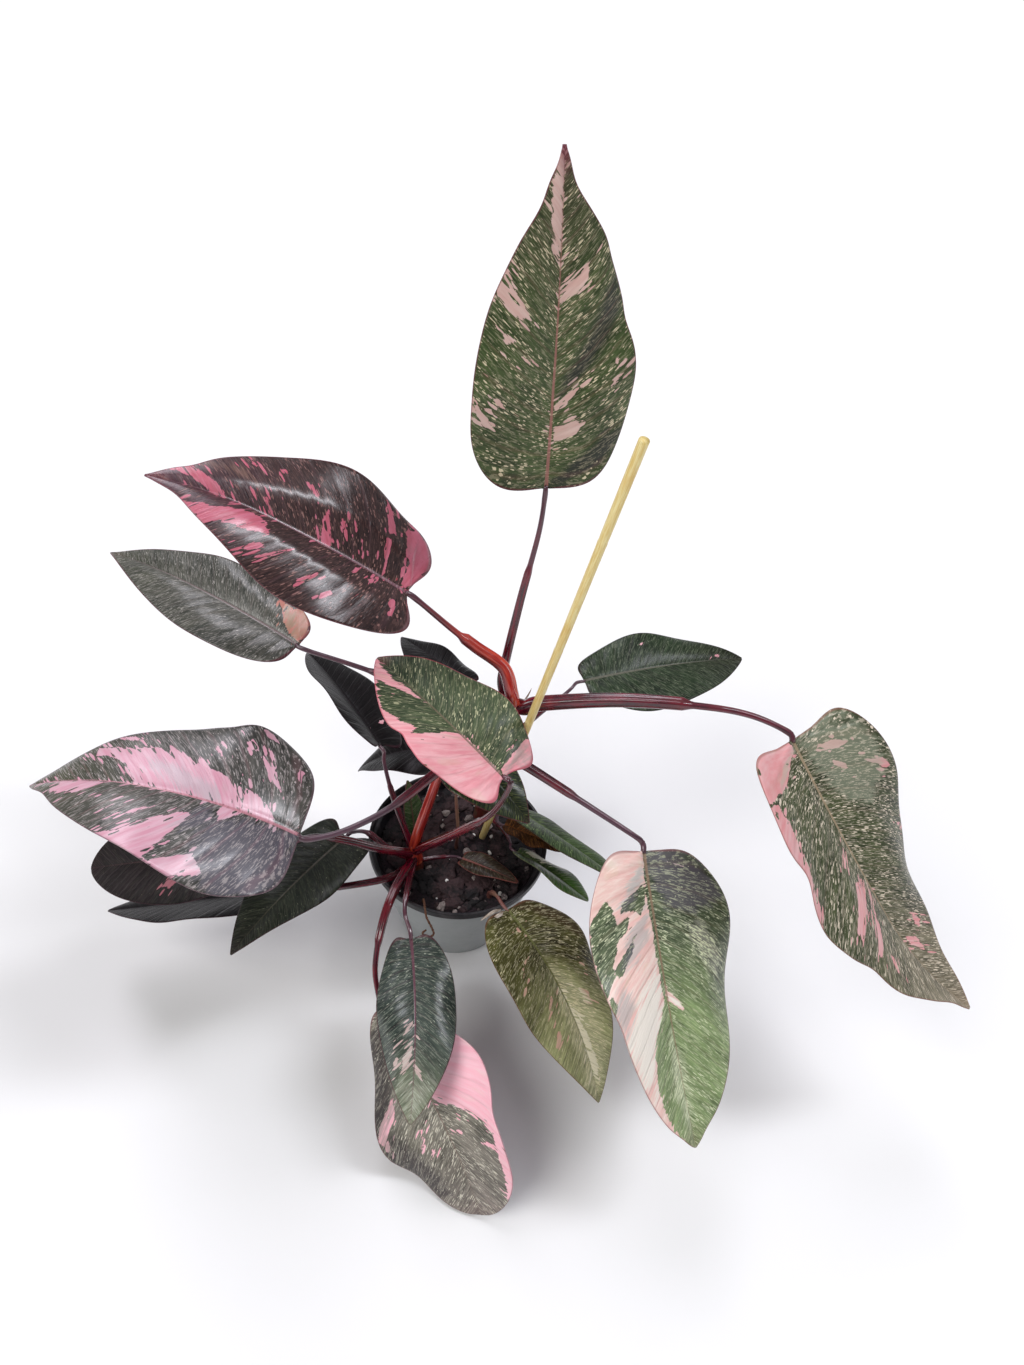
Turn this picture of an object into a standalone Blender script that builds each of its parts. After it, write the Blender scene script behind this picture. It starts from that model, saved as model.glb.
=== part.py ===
"""Pink princess philodendron growing in a black nursery pot that stands inside a grey cover pot.

Metres, +Z up. The origin is the centre of the cover pot's base and -Y is the side that is seen
first. Plant dimensions are in millimetres and degrees, and MM turns them into metres.
"""
import math
import random
from collections import namedtuple

import bmesh
import bpy
import numpy as np
from mathutils import Matrix, Vector, noise

MM = 0.001
GAP = 0.3 * MM
MERGE = 0.01 * MM

# Pots: turned shells, the nursery pot's lip hangs over the cover pot's rim.
POT_HEIGHT = 82 * MM
POT_LIP_RADIUS = 60 * MM
POT_BASE_RADIUS = 38 * MM
POT_STEPS = 48
COVER_HEIGHT = 76 * MM
COVER_WALL = 1.6 * MM
NURSERY_WALL = 1.2 * MM
NURSERY_CLEARANCE = 0.6 * MM
LIP_DEPTH = 5 * MM
LIP_INNER_RADIUS = 57.2 * MM
LIP_ROUNDING = 0.7 * MM
FOOT_ROUNDING = 1.5 * MM

# Potting mix: bumpy top with bark and pumice lumps.
MIX_LEVEL = 71 * MM
MIX_STEPS = 36
MIX_RINGS = 7
MIX_BUMP = 1.3 * MM
MIX_BUMP_SIZE = 11 * MM
MIX_SHOULDER = 2 * MM
LUMP_COUNT = 14
LUMP_PLACES = 34
LUMP_RADIUS = (3.2 * MM, 5.5 * MM)
LUMP_SHAPE = (1.0, 0.75, 0.5)
LUMP_ROUGHNESS = 0.3
LUMP_REACH = 50 * MM
LUMP_SEED = 11
STEM_ROOM = 7.5 * MM
HOLE_DEPTH = 14 * MM
HOLE_CLEARANCE = 1.5 * GAP

# Bamboo stake, leaning with the plant.
STAKE_RADIUS = 2.4 * MM
STAKE_FOOT = Vector((16, 12, 72)) * MM
STAKE_LEAN = Vector((0.136, -0.204, 0.97)).normalized()
STAKE_LENGTH_ABOVE = 372 * MM
STAKE_BURIED = 56 * MM
STAKE_SIDES = 16

# Stems: route in mm and a radius at each point.
MAIN_STEM = (
    (14, 30, 57), (14, 30, 72), (17, 27, 112), (21, 20, 165), (24, 15, 206), (23, 15, 218), (21, 16, 230),
)
MAIN_STEM_RADII = (6.5, 6.5, 5.8, 5.2, 5.0, 3.4, 1.0)
SIDE_STEM = ((-27, -18, 57), (-27, -18, 72), (-27, -18, 82), (-27, -18, 89), (-26, -18, 95))
SIDE_STEM_RADII = (6.5, 6.5, 6.2, 4.6, 1.6)
SINGLE_STALK_RADIUS = 2.2
STEM_STEP = 9
TUBE_RESOLUTION = 2
SPLINE_SAMPLES = 24

# Petioles, in mm: a wide sheath at the foot, then a round stalk that thins towards the blade. The
# last KNEE of each lies in line with the midrib and ends BLADE_CLEARANCE before the blade.
SHEATH_RADII = (3.3, 2.5)
STALK_RADII = (1.9, 1.5)
SHEATH_SHARE = 0.62
PETIOLE_STEP = 13
BLADE_CLEARANCE = 0.55
KNEE = 5

# Blades: a grid laid along the midrib, thickened to both sides. The first row lies just past the
# basal lobes, and each row runs obliquely from the midrib to the edge, as the side veins do.
BLADE_THICKNESS = 0.8 * MM
NOTCH_HALF_WIDTH = 2.4
TIP_HALF_WIDTH = 0.7
LOBE_PLACE = 0.06
HOOK_START = 0.6
ROW_SPREAD = 0.85
RIB_LAG = 1.5
ROW_BEND = 1.3
RIB_STATIONS = 60
LARGE_BLADE_GRID = (18, 6)
SMALL_BLADE_GRID = (11, 4)
LARGE_BLADE_LENGTH = 100

# One leaf: base in mm; length, half widths (left, right of the midrib) and wave height in mm;
# fill and taper shape the outline near base and tip, lobe is how far the basal lobes reach back;
# heading, pitch, droop, sweep, roll, twist, hook bend the midrib; fold and cup shape each half.
Leaf = namedtuple(
    "Leaf",
    "base length half fill taper lobe heading pitch droop sweep roll twist hook fold cup wave waves phase",
)

LEAVES = {
    "leaf_top": Leaf(
        base=(32, 45, 335), length=163, half=(45, 43), fill=0.47, taper=1.06, lobe=0.02,
        heading=100, pitch=81, droop=11, sweep=4, roll=11, twist=5, hook=1,
        fold=(10, 9), cup=(-10, -16), wave=3.7, waves=1.7, phase=(-0.3, 0.5)),
    "leaf_glossy": Leaf(
        base=(-37, 12, 280), length=148, half=(41, 47), fill=0.60, taper=1.17, lobe=0.09,
        heading=181, pitch=34, droop=13, sweep=0, roll=-18, twist=3, hook=15,
        fold=(9, 11), cup=(-19, -12), wave=4.1, waves=1.4, phase=(0.0, 0.7)),
    "leaf_left_back": Leaf(
        base=(-107, 35, 211), length=163, half=(30, 27), fill=0.56, taper=1.05, lobe=0.03,
        heading=152, pitch=7, droop=16, sweep=0, roll=-13, twist=-1, hook=4,
        fold=(10, 10), cup=(-16, -15), wave=2.8, waves=1.4, phase=(-0.2, 0.5)),
    "leaf_centre": Leaf(
        base=(26, -56, 214), length=103, half=(33, 35), fill=0.52, taper=0.87, lobe=0.10,
        heading=148, pitch=25, droop=25, sweep=-11, roll=4, twist=-1, hook=0,
        fold=(12, 14), cup=(-11, -11), wave=3.5, waves=1.5, phase=(-0.3, 0.9)),
    "leaf_left_pink": Leaf(
        base=(-81, -87, 185), length=155, half=(49, 52), fill=0.35, taper=0.93, lobe=0.02,
        heading=178, pitch=30, droop=50, sweep=-2, roll=-6, twist=16, hook=9,
        fold=(7, 8), cup=(-16, -12), wave=4.0, waves=2.1, phase=(0.2, 0.7)),
    "leaf_right": Leaf(
        base=(184, -20, 230), length=193, half=(56, 53), fill=0.40, taper=0.91, lobe=0.06,
        heading=-47, pitch=-38, droop=10, sweep=24, roll=1, twist=-6, hook=-26,
        fold=(10, 10), cup=(-13, -4), wave=8.0, waves=1.1, phase=(0.1, 0.1)),
    "leaf_right_front": Leaf(
        base=(109, -64, 173), length=160, half=(49, 41), fill=0.44, taper=0.72, lobe=0.03,
        heading=-77, pitch=-26, droop=18, sweep=10, roll=-14, twist=-5, hook=-5,
        fold=(9, 11), cup=(-23, -14), wave=6.3, waves=1.4, phase=(0.0, 0.4)),
    "leaf_front_olive": Leaf(
        base=(37, -58, 91), length=130, half=(35, 34), fill=0.56, taper=1.03, lobe=0.04,
        heading=-47, pitch=-2, droop=46, sweep=-15, roll=-14, twist=0, hook=7,
        fold=(7, 9), cup=(-16, -16), wave=3.5, waves=1.8, phase=(-0.1, 0.6)),
    "leaf_front_small": Leaf(
        base=(-20, -84, 89), length=106, half=(24, 21), fill=0.65, taper=0.91, lobe=0.05,
        heading=-76, pitch=-6, droop=16, sweep=-12, roll=-2, twist=0, hook=-1,
        fold=(8, 8), cup=(-17, -18), wave=3.2, waves=1.6, phase=(0.1, 0.6)),
    "leaf_front_low": Leaf(
        base=(-32, -115, 60), length=133, half=(41, 37), fill=0.80, taper=0.60, lobe=0.03,
        heading=-52, pitch=-11, droop=20, sweep=-1, roll=31, twist=12, hook=24,
        fold=(17, 6), cup=(-4, -17), wave=8.5, waves=1.5, phase=(0.2, 0.5)),
    "leaf_back_right": Leaf(
        base=(72, 68, 175), length=122, half=(26, 33), fill=0.59, taper=0.93, lobe=0.04,
        heading=22, pitch=4, droop=17, sweep=4, roll=6, twist=4, hook=0,
        fold=(11, 10), cup=(-15, -15), wave=3.4, waves=1.4, phase=(-0.3, 0.4)),
    "leaf_under_a": Leaf(
        base=(-72, -17, 94), length=107, half=(27, 28), fill=0.50, taper=1.0, lobe=0.10,
        heading=-122, pitch=4, droop=5, sweep=8, roll=5, twist=6, hook=4,
        fold=(14, 10), cup=(-12, -15), wave=2.1, waves=1.5, phase=(0.0, 0.5)),
    "leaf_under_b": Leaf(
        base=(-112, -63, 132), length=118, half=(28, 32), fill=0.60, taper=0.70, lobe=0.08,
        heading=182, pitch=-10, droop=20, sweep=-6, roll=-15, twist=-10, hook=-5,
        fold=(10, 12), cup=(-15, -14), wave=1.6, waves=1.6, phase=(0.0, 0.5)),
    "leaf_under_c": Leaf(
        base=(-104, -57, 83), length=125, half=(28, 29), fill=0.55, taper=0.91, lobe=0.08,
        heading=185, pitch=-11, droop=16, sweep=-7, roll=21, twist=3, hook=-6,
        fold=(13, 10), cup=(-11, -15), wave=1.5, waves=1.3, phase=(-0.2, 0.5)),
    "leaf_behind_left": Leaf(
        base=(-56, 25, 138), length=108, half=(25, 27), fill=0.60, taper=0.90, lobe=0.08,
        heading=127, pitch=6, droop=15, sweep=2, roll=37, twist=-11, hook=2,
        fold=(18, 19), cup=(-10, -8), wave=2.1, waves=1.5, phase=(-0.4, 0.5)),
    "leaf_behind_low": Leaf(
        base=(-14, 44, 120), length=79, half=(21, 20), fill=0.44, taper=1.06, lobe=0.08,
        heading=171, pitch=-11, droop=43, sweep=1, roll=-4, twist=6, hook=5,
        fold=(10, 11), cup=(-13, -14), wave=3.0, waves=1.4, phase=(-0.4, 0.5)),
    "leaf_behind_top": Leaf(
        base=(-2, 15, 213), length=66, half=(17, 12), fill=0.55, taper=0.96, lobe=0.08,
        heading=136, pitch=-1, droop=17, sweep=-3, roll=5, twist=1, hook=-2,
        fold=(10, 9), cup=(-15, -16), wave=1.9, waves=1.4, phase=(0.0, 0.4)),
    "leaf_low_mid": Leaf(
        base=(0, -12, 190), length=61, half=(17, 26), fill=0.44, taper=1.01, lobe=0.08,
        heading=-40, pitch=-14, droop=15, sweep=0, roll=4, twist=-3, hook=1,
        fold=(10, 10), cup=(-15, -14), wave=2.0, waves=1.5, phase=(0.0, 0.5)),
    "leaf_low_right": Leaf(
        base=(40, 11, 103), length=92, half=(20, 23), fill=0.56, taper=0.95, lobe=0.08,
        heading=-41, pitch=12, droop=12, sweep=3, roll=-34, twist=-3, hook=-3,
        fold=(6, 10), cup=(-19, -15), wave=0.9, waves=1.7, phase=(0.1, 0.7)),
    "leaf_low_small": Leaf(
        base=(40, -14, 93), length=56, half=(13, 13), fill=0.63, taper=0.72, lobe=0.06,
        heading=-28, pitch=0, droop=20, sweep=-1, roll=-35, twist=11, hook=-4,
        fold=(10, 14), cup=(-14, -10), wave=1.4, waves=1.3, phase=(0.3, 0.8)),
    "leaf_pot_brown": Leaf(
        base=(4, -14, 79), length=42, half=(9, 7), fill=0.56, taper=0.96, lobe=0.05,
        heading=-22, pitch=9, droop=8, sweep=-3, roll=-6, twist=0, hook=2,
        fold=(10, 11), cup=(-15, -14), wave=0.8, waves=1.3, phase=(-0.1, 0.3)),
    "leaf_pot_young": Leaf(
        base=(-29, -4, 86), length=40, half=(6, 8), fill=0.55, taper=0.95, lobe=0.04,
        heading=114, pitch=67, droop=8, sweep=1, roll=19, twist=3, hook=0,
        fold=(12, 9), cup=(-13, -17), wave=0.8, waves=1.4, phase=(-0.2, 0.5)),
    "leaf_dried": Leaf(
        base=(30, 10, 89), length=47, half=(10, 10), fill=0.60, taper=0.80, lobe=0.02,
        heading=-20, pitch=2, droop=6, sweep=2, roll=-8, twist=14, hook=6,
        fold=(38, 30), cup=(-30, -26), wave=1.4, waves=2.4, phase=(0.1, 0.6)),
}

# Petiole routes in mm, from inside the stem towards the blade, and a girth for the small ones. wrap is
# how much wider a petiole's sheath is than the usual one.
Petiole = namedtuple("Petiole", "leaf route girth wrap", defaults=(1.0,))

MAIN_PETIOLES = (
    Petiole("leaf_top", ((24, 15, 198), (19, 18, 213), (20, 22, 229), (25, 34, 266), (31, 44, 305)), 0.88),
    Petiole(
        "leaf_glossy",
        ((24, 15, 192), (28, 7, 205), (25, 6, 219), (19, 11, 233), (2, 13, 245), (-12, 14, 256)),
        1.0,
        1.3,
    ),
    Petiole("leaf_left_back", ((22, 18, 180), (-18, 18, 190), (-55, 25, 203)), 0.85),
    Petiole(
        "leaf_left_pink",
        ((24, 16, 206), (5, -30, 208), (-13, -44, 197), (-35, -64, 188), (-58, -80, 184)),
        1.0,
    ),
    Petiole(
        "leaf_right",
        ((24, 15, 201), (34, 4, 209), (44, 1, 217), (87, -7, 234), (131, -13, 242), (159, -14, 240)),
        1.1,
        1.3,
    ),
    Petiole(
        "leaf_right_front",
        ((22, 17, 190), (19, -8, 200), (25, -27, 203), (45, -37, 199), (97, -57, 182)),
        1.0,
    ),
    Petiole("leaf_back_right", ((20, 22, 150), (45, 46, 163), (58, 55, 171), (64, 60, 175)), 0.65),
    Petiole("leaf_behind_low", ((16, 28, 100), (2, 38, 114)), 0.7),
    Petiole("leaf_low_right", ((15, 28, 90), (28, 20, 98)), 0.7),
    Petiole("leaf_low_small", ((14, 30, 78), (30, 10, 82), (35, -3, 88)), 0.5),
    Petiole("leaf_dried", ((14, 30, 84), (23, 21, 89)), 0.6),
)
SIDE_PETIOLES = (
    Petiole("leaf_centre", ((-27, -18, 87), (-20, -23, 100), (2, -39, 140), (21, -56, 182)), 1.0),
    Petiole("leaf_behind_top", ((-27, -17, 86), (-25, -17, 105), (-14, -13, 158), (-6, -1, 196)), 1.1),
    Petiole("leaf_behind_left", ((-28, -16, 83), (-44, 2, 116), (-52, 16, 132)), 0.75),
    Petiole("leaf_under_a", ((-28, -19, 81), (-44, -24, 96), (-58, -18, 102)), 0.8),
    Petiole("leaf_under_b", ((-28, -19, 86), (-47, -34, 108), (-67, -45, 128), (-86, -52, 137)), 0.9),
    Petiole("leaf_under_c", ((-28, -20, 79), (-40, -41, 88), (-69, -54, 91)), 0.8),
    Petiole("leaf_front_low", ((-27, -20, 83), (-35, -55, 93), (-39, -78, 88), (-40, -97, 73)), 1.0),
    Petiole("leaf_front_small", ((-27, -20, 80), (-27, -50, 92), (-26, -69, 94)), 0.75),
    Petiole("leaf_pot_brown", ((-26, -18, 77), (-12, -15, 79)), 0.5),
    Petiole("leaf_pot_young", ((-28, -16, 82), (-29, -8, 84)), 0.5),
)
YOUNG_PETIOLE = Petiole(
    "leaf_low_mid",
    ((-1, 0, 57), (-1, 0, 74), (0, -10, 105), (-2, -18, 150), (-2, -16, 176)),
    0.4,
)
FRONT_PETIOLE = Petiole("leaf_front_olive", ((25, -36, 57), (25, -36, 74), (27, -42, 84), (30, -49, 91)), 0.6)

AERIAL_ROOT = ((-18, -44, 66), (-17, -48, 78), (-15, -58, 86), (-13, -64, 83), (-9, -66, 74),
               (-8, -66, 67), (-12, -66, 63), (-15, -66, 67), (-13, -66, 71))
AERIAL_ROOT_RADIUS = 0.7
AERIAL_ROOT_STEP = 3.5
ROOT_HOLE_RADIUS = 2 * MM
ROOT_HOLE_LEAN = Vector((0.07, -0.3, 1)).normalized()
ROOT_HOLE_BELOW = 1.2 * MM

MATERIALS = {
    "cover_pot_plastic": ((0.37, 0.41, 0.41), 0.45),
    "nursery_pot_plastic": ((0.015, 0.014, 0.02), 0.5),
    "potting_mix": ((0.045, 0.033, 0.028), 0.95),
    "bamboo": ((0.80, 0.68, 0.34), 0.45),
    "petiole": ((0.16, 0.02, 0.035), 0.3),
    "young_petiole": ((0.20, 0.09, 0.09), 0.4),
    "root": ((0.14, 0.07, 0.045), 0.7),
    "leaf_variegated": ((0.10, 0.13, 0.10), 0.4),
    "leaf_olive": ((0.15, 0.15, 0.05), 0.4),
    "leaf_dark": ((0.04, 0.06, 0.05), 0.35),
    "leaf_dried": ((0.16, 0.08, 0.035), 0.7),
}
LEAF_MATERIALS = {
    "leaf_front_olive": "leaf_olive",
    "leaf_pot_brown": "leaf_olive",
    "leaf_dried": "leaf_dried",
    "leaf_behind_left": "leaf_dark",
    "leaf_behind_low": "leaf_dark",
    "leaf_behind_top": "leaf_dark",
    "leaf_under_a": "leaf_dark",
    "leaf_under_b": "leaf_dark",
    "leaf_under_c": "leaf_dark",
    "leaf_back_right": "leaf_dark",
}


def clear_scene():
    for obj in list(bpy.data.objects):
        bpy.data.objects.remove(obj, do_unlink=True)


def new_collection(name):
    collection = bpy.data.collections.new(name)
    bpy.context.scene.collection.children.link(collection)
    return collection


def make_material(name, color, roughness):
    material = bpy.data.materials.new(name)
    material.use_nodes = True
    shader = material.node_tree.nodes["Principled BSDF"]
    shader.inputs["Base Color"].default_value = (*color, 1.0)
    shader.inputs["Roughness"].default_value = roughness
    return material


def link_mesh(mesh, name, collection, material=None, smooth=True):
    obj = bpy.data.objects.new(name, mesh)
    collection.objects.link(obj)
    if material:
        mesh.materials.clear()
        mesh.materials.append(material)
    if smooth:
        mesh.shade_smooth()
        mesh.set_sharp_from_angle(angle=math.radians(50))
    return obj


def evaluated_mesh(obj):
    """The object's mesh with its modifiers, or its curve's tube with the caps welded on."""
    graph = bpy.context.evaluated_depsgraph_get()
    mesh = bpy.data.meshes.new_from_object(obj.evaluated_get(graph))
    mesh.transform(obj.matrix_world)
    bm = bmesh.new()
    bm.from_mesh(mesh)
    bmesh.ops.remove_doubles(bm, verts=bm.verts, dist=MERGE)
    bm.to_mesh(mesh)
    bm.free()
    return mesh


def bake(obj, material=None):
    """Replace an object by its evaluated mesh, under the same name."""
    mesh = evaluated_mesh(obj)
    name = obj.name
    collection = obj.users_collection[0]
    bpy.data.objects.remove(obj, do_unlink=True)
    mesh.name = name
    return link_mesh(mesh, name, collection, material)


def boolean(obj, operation, collection):
    """Join or cut obj with every object of a collection, then apply it."""
    modifier = obj.modifiers.new(operation.title(), "BOOLEAN")
    modifier.operation = operation
    modifier.operand_type = "COLLECTION"
    modifier.collection = collection
    modifier.solver = "EXACT"
    joined = bake(obj, obj.data.materials[0])
    for other in list(collection.objects):
        bpy.data.objects.remove(other, do_unlink=True)
    bpy.data.collections.remove(collection)
    return joined


def turned(name, profile, collection, material, steps=POT_STEPS):
    """A profile of (radius, height) pairs turned around Z; it runs down its outer side."""
    mesh = bpy.data.meshes.new(name)
    bm = bmesh.new()
    verts = [bm.verts.new((radius, 0, height)) for radius, height in profile]
    for first, second in zip(verts, verts[1:]):
        bm.edges.new((first, second))
    bm.to_mesh(mesh)
    bm.free()
    obj = link_mesh(mesh, name, collection, material, smooth=False)
    screw = obj.modifiers.new("Turn", "SCREW")
    screw.steps = steps
    screw.render_steps = steps
    screw.use_merge_vertices = True
    screw.merge_threshold = MERGE
    return bake(obj, material)


def wall_radius(height):
    """Outer radius of the cover pot's straight taper at a height."""
    return POT_BASE_RADIUS + (POT_LIP_RADIUS - POT_BASE_RADIUS) * height / POT_HEIGHT


def nursery_radius(height):
    return wall_radius(height) - COVER_WALL - NURSERY_CLEARANCE


def make_cover_pot(collection, material):
    profile = (
        (0, COVER_WALL),
        (wall_radius(COVER_WALL) - COVER_WALL, COVER_WALL),
        (wall_radius(COVER_HEIGHT) - COVER_WALL, COVER_HEIGHT),
        (wall_radius(COVER_HEIGHT), COVER_HEIGHT),
        (wall_radius(COVER_HEIGHT / 2), COVER_HEIGHT / 2),
        (wall_radius(FOOT_ROUNDING), FOOT_ROUNDING),
        (POT_BASE_RADIUS - FOOT_ROUNDING, 0),
        (0, 0),
    )
    return turned("cover_pot", profile, collection, material)


def make_nursery_pot(collection, material):
    foot = COVER_WALL + GAP
    floor = foot + NURSERY_WALL
    lip_foot = POT_HEIGHT - LIP_DEPTH
    profile = (
        (0, floor),
        (nursery_radius(floor) - NURSERY_WALL, floor),
        (nursery_radius(lip_foot) - NURSERY_WALL, lip_foot),
        (LIP_INNER_RADIUS, POT_HEIGHT),
        (POT_LIP_RADIUS - LIP_ROUNDING, POT_HEIGHT),
        (POT_LIP_RADIUS, POT_HEIGHT - LIP_ROUNDING),
        (POT_LIP_RADIUS, lip_foot),
        (nursery_radius(lip_foot), lip_foot),
        (nursery_radius(foot), foot),
        (0, foot),
    )
    return turned("nursery_pot", profile, collection, material)


def mix_height(x, y):
    """Height of the potting mix at a place: low bumps over a level bed."""
    place = Vector((x, y, 0)) / MIX_BUMP_SIZE
    return MIX_LEVEL + MIX_BUMP * noise.noise(place)


def make_lump(place, radius, turn, collection):
    """A rough, slightly flattened piece of bark or pumice half sunk in the mix."""
    mesh = bpy.data.meshes.new("lump")
    bm = bmesh.new()
    bmesh.ops.create_icosphere(bm, subdivisions=2, radius=radius)
    for vert in bm.verts:
        rough = 1 + LUMP_ROUGHNESS * noise.noise(vert.co / radius + Vector((turn, turn, 0)))
        shaped = vert.co * Vector(LUMP_SHAPE) * rough
        vert.co = place + Matrix.Rotation(turn, 3, "Z") @ shaped
    bm.to_mesh(mesh)
    bm.free()
    return link_mesh(mesh, "lump", collection, smooth=False)


def clear_of_stems(x, y, reach):
    """Whether a place on the mix is farther than reach from everything that stands in a hole."""
    feet = (MAIN_STEM[1], SIDE_STEM[1], YOUNG_PETIOLE.route[0], FRONT_PETIOLE.route[0], STAKE_FOOT / MM)
    for foot in feet:
        if math.hypot(x - foot[0] * MM, y - foot[1] * MM) < reach:
            return False
    return True


def make_holes():
    """Cutters for the plain holes that the stems and the stake stand in."""
    holes = new_collection("hole_cutters")
    routes = (
        ("main_stem_hole", MAIN_STEM, MAIN_STEM_RADII[0]),
        ("side_stem_hole", SIDE_STEM, SIDE_STEM_RADII[0]),
        ("young_stalk_hole", YOUNG_PETIOLE.route, SINGLE_STALK_RADIUS),
        ("front_stalk_hole", FRONT_PETIOLE.route, SINGLE_STALK_RADIUS),
    )
    for name, route, radius in routes:
        foot = Vector(route[0]) * MM - Vector((0, 0, GAP))
        add_cylinder(name, foot, Vector((0, 0, 1)), HOLE_DEPTH * 2, radius * MM + HOLE_CLEARANCE, holes)
    foot = STAKE_FOOT - STAKE_LEAN * (STAKE_BURIED + GAP)
    add_cylinder("stake_hole", foot, STAKE_LEAN, STAKE_BURIED * 1.5, STAKE_RADIUS + HOLE_CLEARANCE, holes)
    foot = Vector(AERIAL_ROOT[0]) * MM - Vector((0, 0, ROOT_HOLE_BELOW))
    add_cylinder("root_hole", foot, ROOT_HOLE_LEAN, HOLE_DEPTH, ROOT_HOLE_RADIUS, holes)
    for cutter in holes.objects:
        cutter.hide_render = True
        cutter.display_type = "WIRE"
    return holes


def add_cylinder(name, foot, direction, length, radius, collection, sides=STAKE_SIDES):
    mesh = bpy.data.meshes.new(name)
    bm = bmesh.new()
    bmesh.ops.create_cone(bm, cap_ends=True, segments=sides, radius1=radius, radius2=radius, depth=length)
    turn = direction.to_track_quat("Z", "Y").to_matrix().to_4x4()
    bm.transform(Matrix.Translation(foot + direction * length / 2) @ turn)
    bm.to_mesh(mesh)
    bm.free()
    return link_mesh(mesh, name, collection)


def make_potting_mix(collection, material):
    foot = COVER_WALL + NURSERY_WALL + 2 * GAP
    inner = NURSERY_WALL + GAP
    top_radius = nursery_radius(MIX_LEVEL - MIX_SHOULDER) - inner
    rings = [(top_radius * ring / MIX_RINGS, MIX_LEVEL) for ring in range(MIX_RINGS)]
    profile = rings + [
        (top_radius, MIX_LEVEL - MIX_SHOULDER),
        (nursery_radius(foot) - inner, foot),
        (0, foot),
    ]
    mix = turned("potting_mix", profile, collection, material, steps=MIX_STEPS)
    for vert in mix.data.vertices:
        if vert.co.z > MIX_LEVEL - MERGE:
            vert.co.z = mix_height(vert.co.x, vert.co.y)

    lumps = new_collection("lumps")
    draw = random.Random(LUMP_SEED)
    golden_angle = math.pi * (3 - math.sqrt(5))
    for count in range(LUMP_PLACES):
        reach = LUMP_REACH * math.sqrt((count + 0.5) / LUMP_PLACES)
        x = reach * math.cos(count * golden_angle)
        y = reach * math.sin(count * golden_angle)
        radius = draw.uniform(*LUMP_RADIUS)
        room = radius * (1 + LUMP_ROUGHNESS) + STEM_ROOM
        if len(lumps.objects) < LUMP_COUNT and clear_of_stems(x, y, room):
            make_lump(Vector((x, y, mix_height(x, y))), radius, count, lumps)
    mix = boolean(mix, "UNION", lumps)
    return boolean(mix, "DIFFERENCE", make_holes())


def make_stake(collection, material):
    foot = STAKE_FOOT - STAKE_LEAN * STAKE_BURIED
    length = STAKE_BURIED + STAKE_LENGTH_ABOVE
    stake = add_cylinder("stake", foot, STAKE_LEAN, length, STAKE_RADIUS, collection)
    stake.data.materials.append(material)
    return stake


def spline_point(points, place):
    """A point on the Catmull-Rom curve through points, place counted in spans from the first."""
    span = min(int(place), len(points) - 2)
    t = place - span
    before = points[max(span - 1, 0)]
    start, end = points[span], points[span + 1]
    after = points[min(span + 2, len(points) - 1)]
    return 0.5 * (
        2 * start
        + (end - before) * t
        + (2 * before - 5 * start + 4 * end - after) * t * t
        + (3 * start - before - 3 * end + after) * t**3
    )


def smooth_route(route, step):
    """Evenly spaced points along the smooth curve through a route, with their share of its length."""
    points = [np.array(point, float) for point in route]
    steps = np.linspace(0, len(points) - 1, SPLINE_SAMPLES * len(points))
    fine = np.array([spline_point(points, place) for place in steps])
    lengths = np.concatenate([[0], np.cumsum(np.linalg.norm(np.diff(fine, axis=0), axis=1))])
    count = max(3, round(lengths[-1] / step))
    shares = np.linspace(0, 1, count + 1)
    places = np.array([np.interp(shares * lengths[-1], lengths, fine[:, axis]) for axis in range(3)]).T
    return places, shares


def make_tube(name, places, radii, collection):
    """A tube through places in mm with a radius in mm at each, as a mesh with welded caps."""
    curve = bpy.data.curves.new(name, "CURVE")
    curve.dimensions = "3D"
    curve.bevel_depth = MM
    curve.bevel_resolution = TUBE_RESOLUTION
    curve.use_fill_caps = True
    spline = curve.splines.new("POLY")
    spline.points.add(len(places) - 1)
    for point, place, radius in zip(spline.points, places, radii):
        point.co = (*(np.array(place) * MM), 1)
        point.radius = radius
    obj = bpy.data.objects.new(name, curve)
    collection.objects.link(obj)
    return bake(obj)


def rib_direction(leaf, share):
    """Unit vector along the midrib at a share of its length."""
    hooked = leaf.hook * max(share - HOOK_START, 0) / (1 - HOOK_START)
    rise = math.radians(leaf.pitch - leaf.droop * share - hooked)
    turn = math.radians(leaf.heading + leaf.sweep * share)
    return np.array([math.cos(rise) * math.cos(turn), math.cos(rise) * math.sin(turn), math.sin(rise)])


def rib_place(leaf, reach):
    """Point, direction, side and normal of the midrib at a reach in mm from the blade's base."""
    share = min(max(reach / leaf.length, 0), 1)
    stations = np.linspace(0, share, RIB_STATIONS + 1)
    middles = (stations[1:] + stations[:-1]) / 2
    step = share * leaf.length / RIB_STATIONS
    place = np.array(leaf.base, float) + sum(rib_direction(leaf, middle) for middle in middles) * step
    along = rib_direction(leaf, share)
    place = place + min(reach, 0) * along
    turn = math.radians(leaf.heading + leaf.sweep * share)
    level = np.array([-math.sin(turn), math.cos(turn), 0])
    raised = np.cross(along, level)
    roll = math.radians(leaf.roll + leaf.twist * share)
    side = math.cos(roll) * level + math.sin(roll) * raised
    normal = -math.sin(roll) * level + math.cos(roll) * raised
    return place, side, normal


def outline_width(leaf, share, half):
    """Half width of the blade at a share of its length: nearly heart-shaped, tapering to a tip."""
    peak = leaf.fill / (leaf.fill + leaf.taper)
    full = share**leaf.fill * (1 - share) ** leaf.taper / (peak**leaf.fill * (1 - peak) ** leaf.taper)
    return NOTCH_HALF_WIDTH * (1 - share) ** 2 + TIP_HALF_WIDTH * share**2 + half * full


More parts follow.
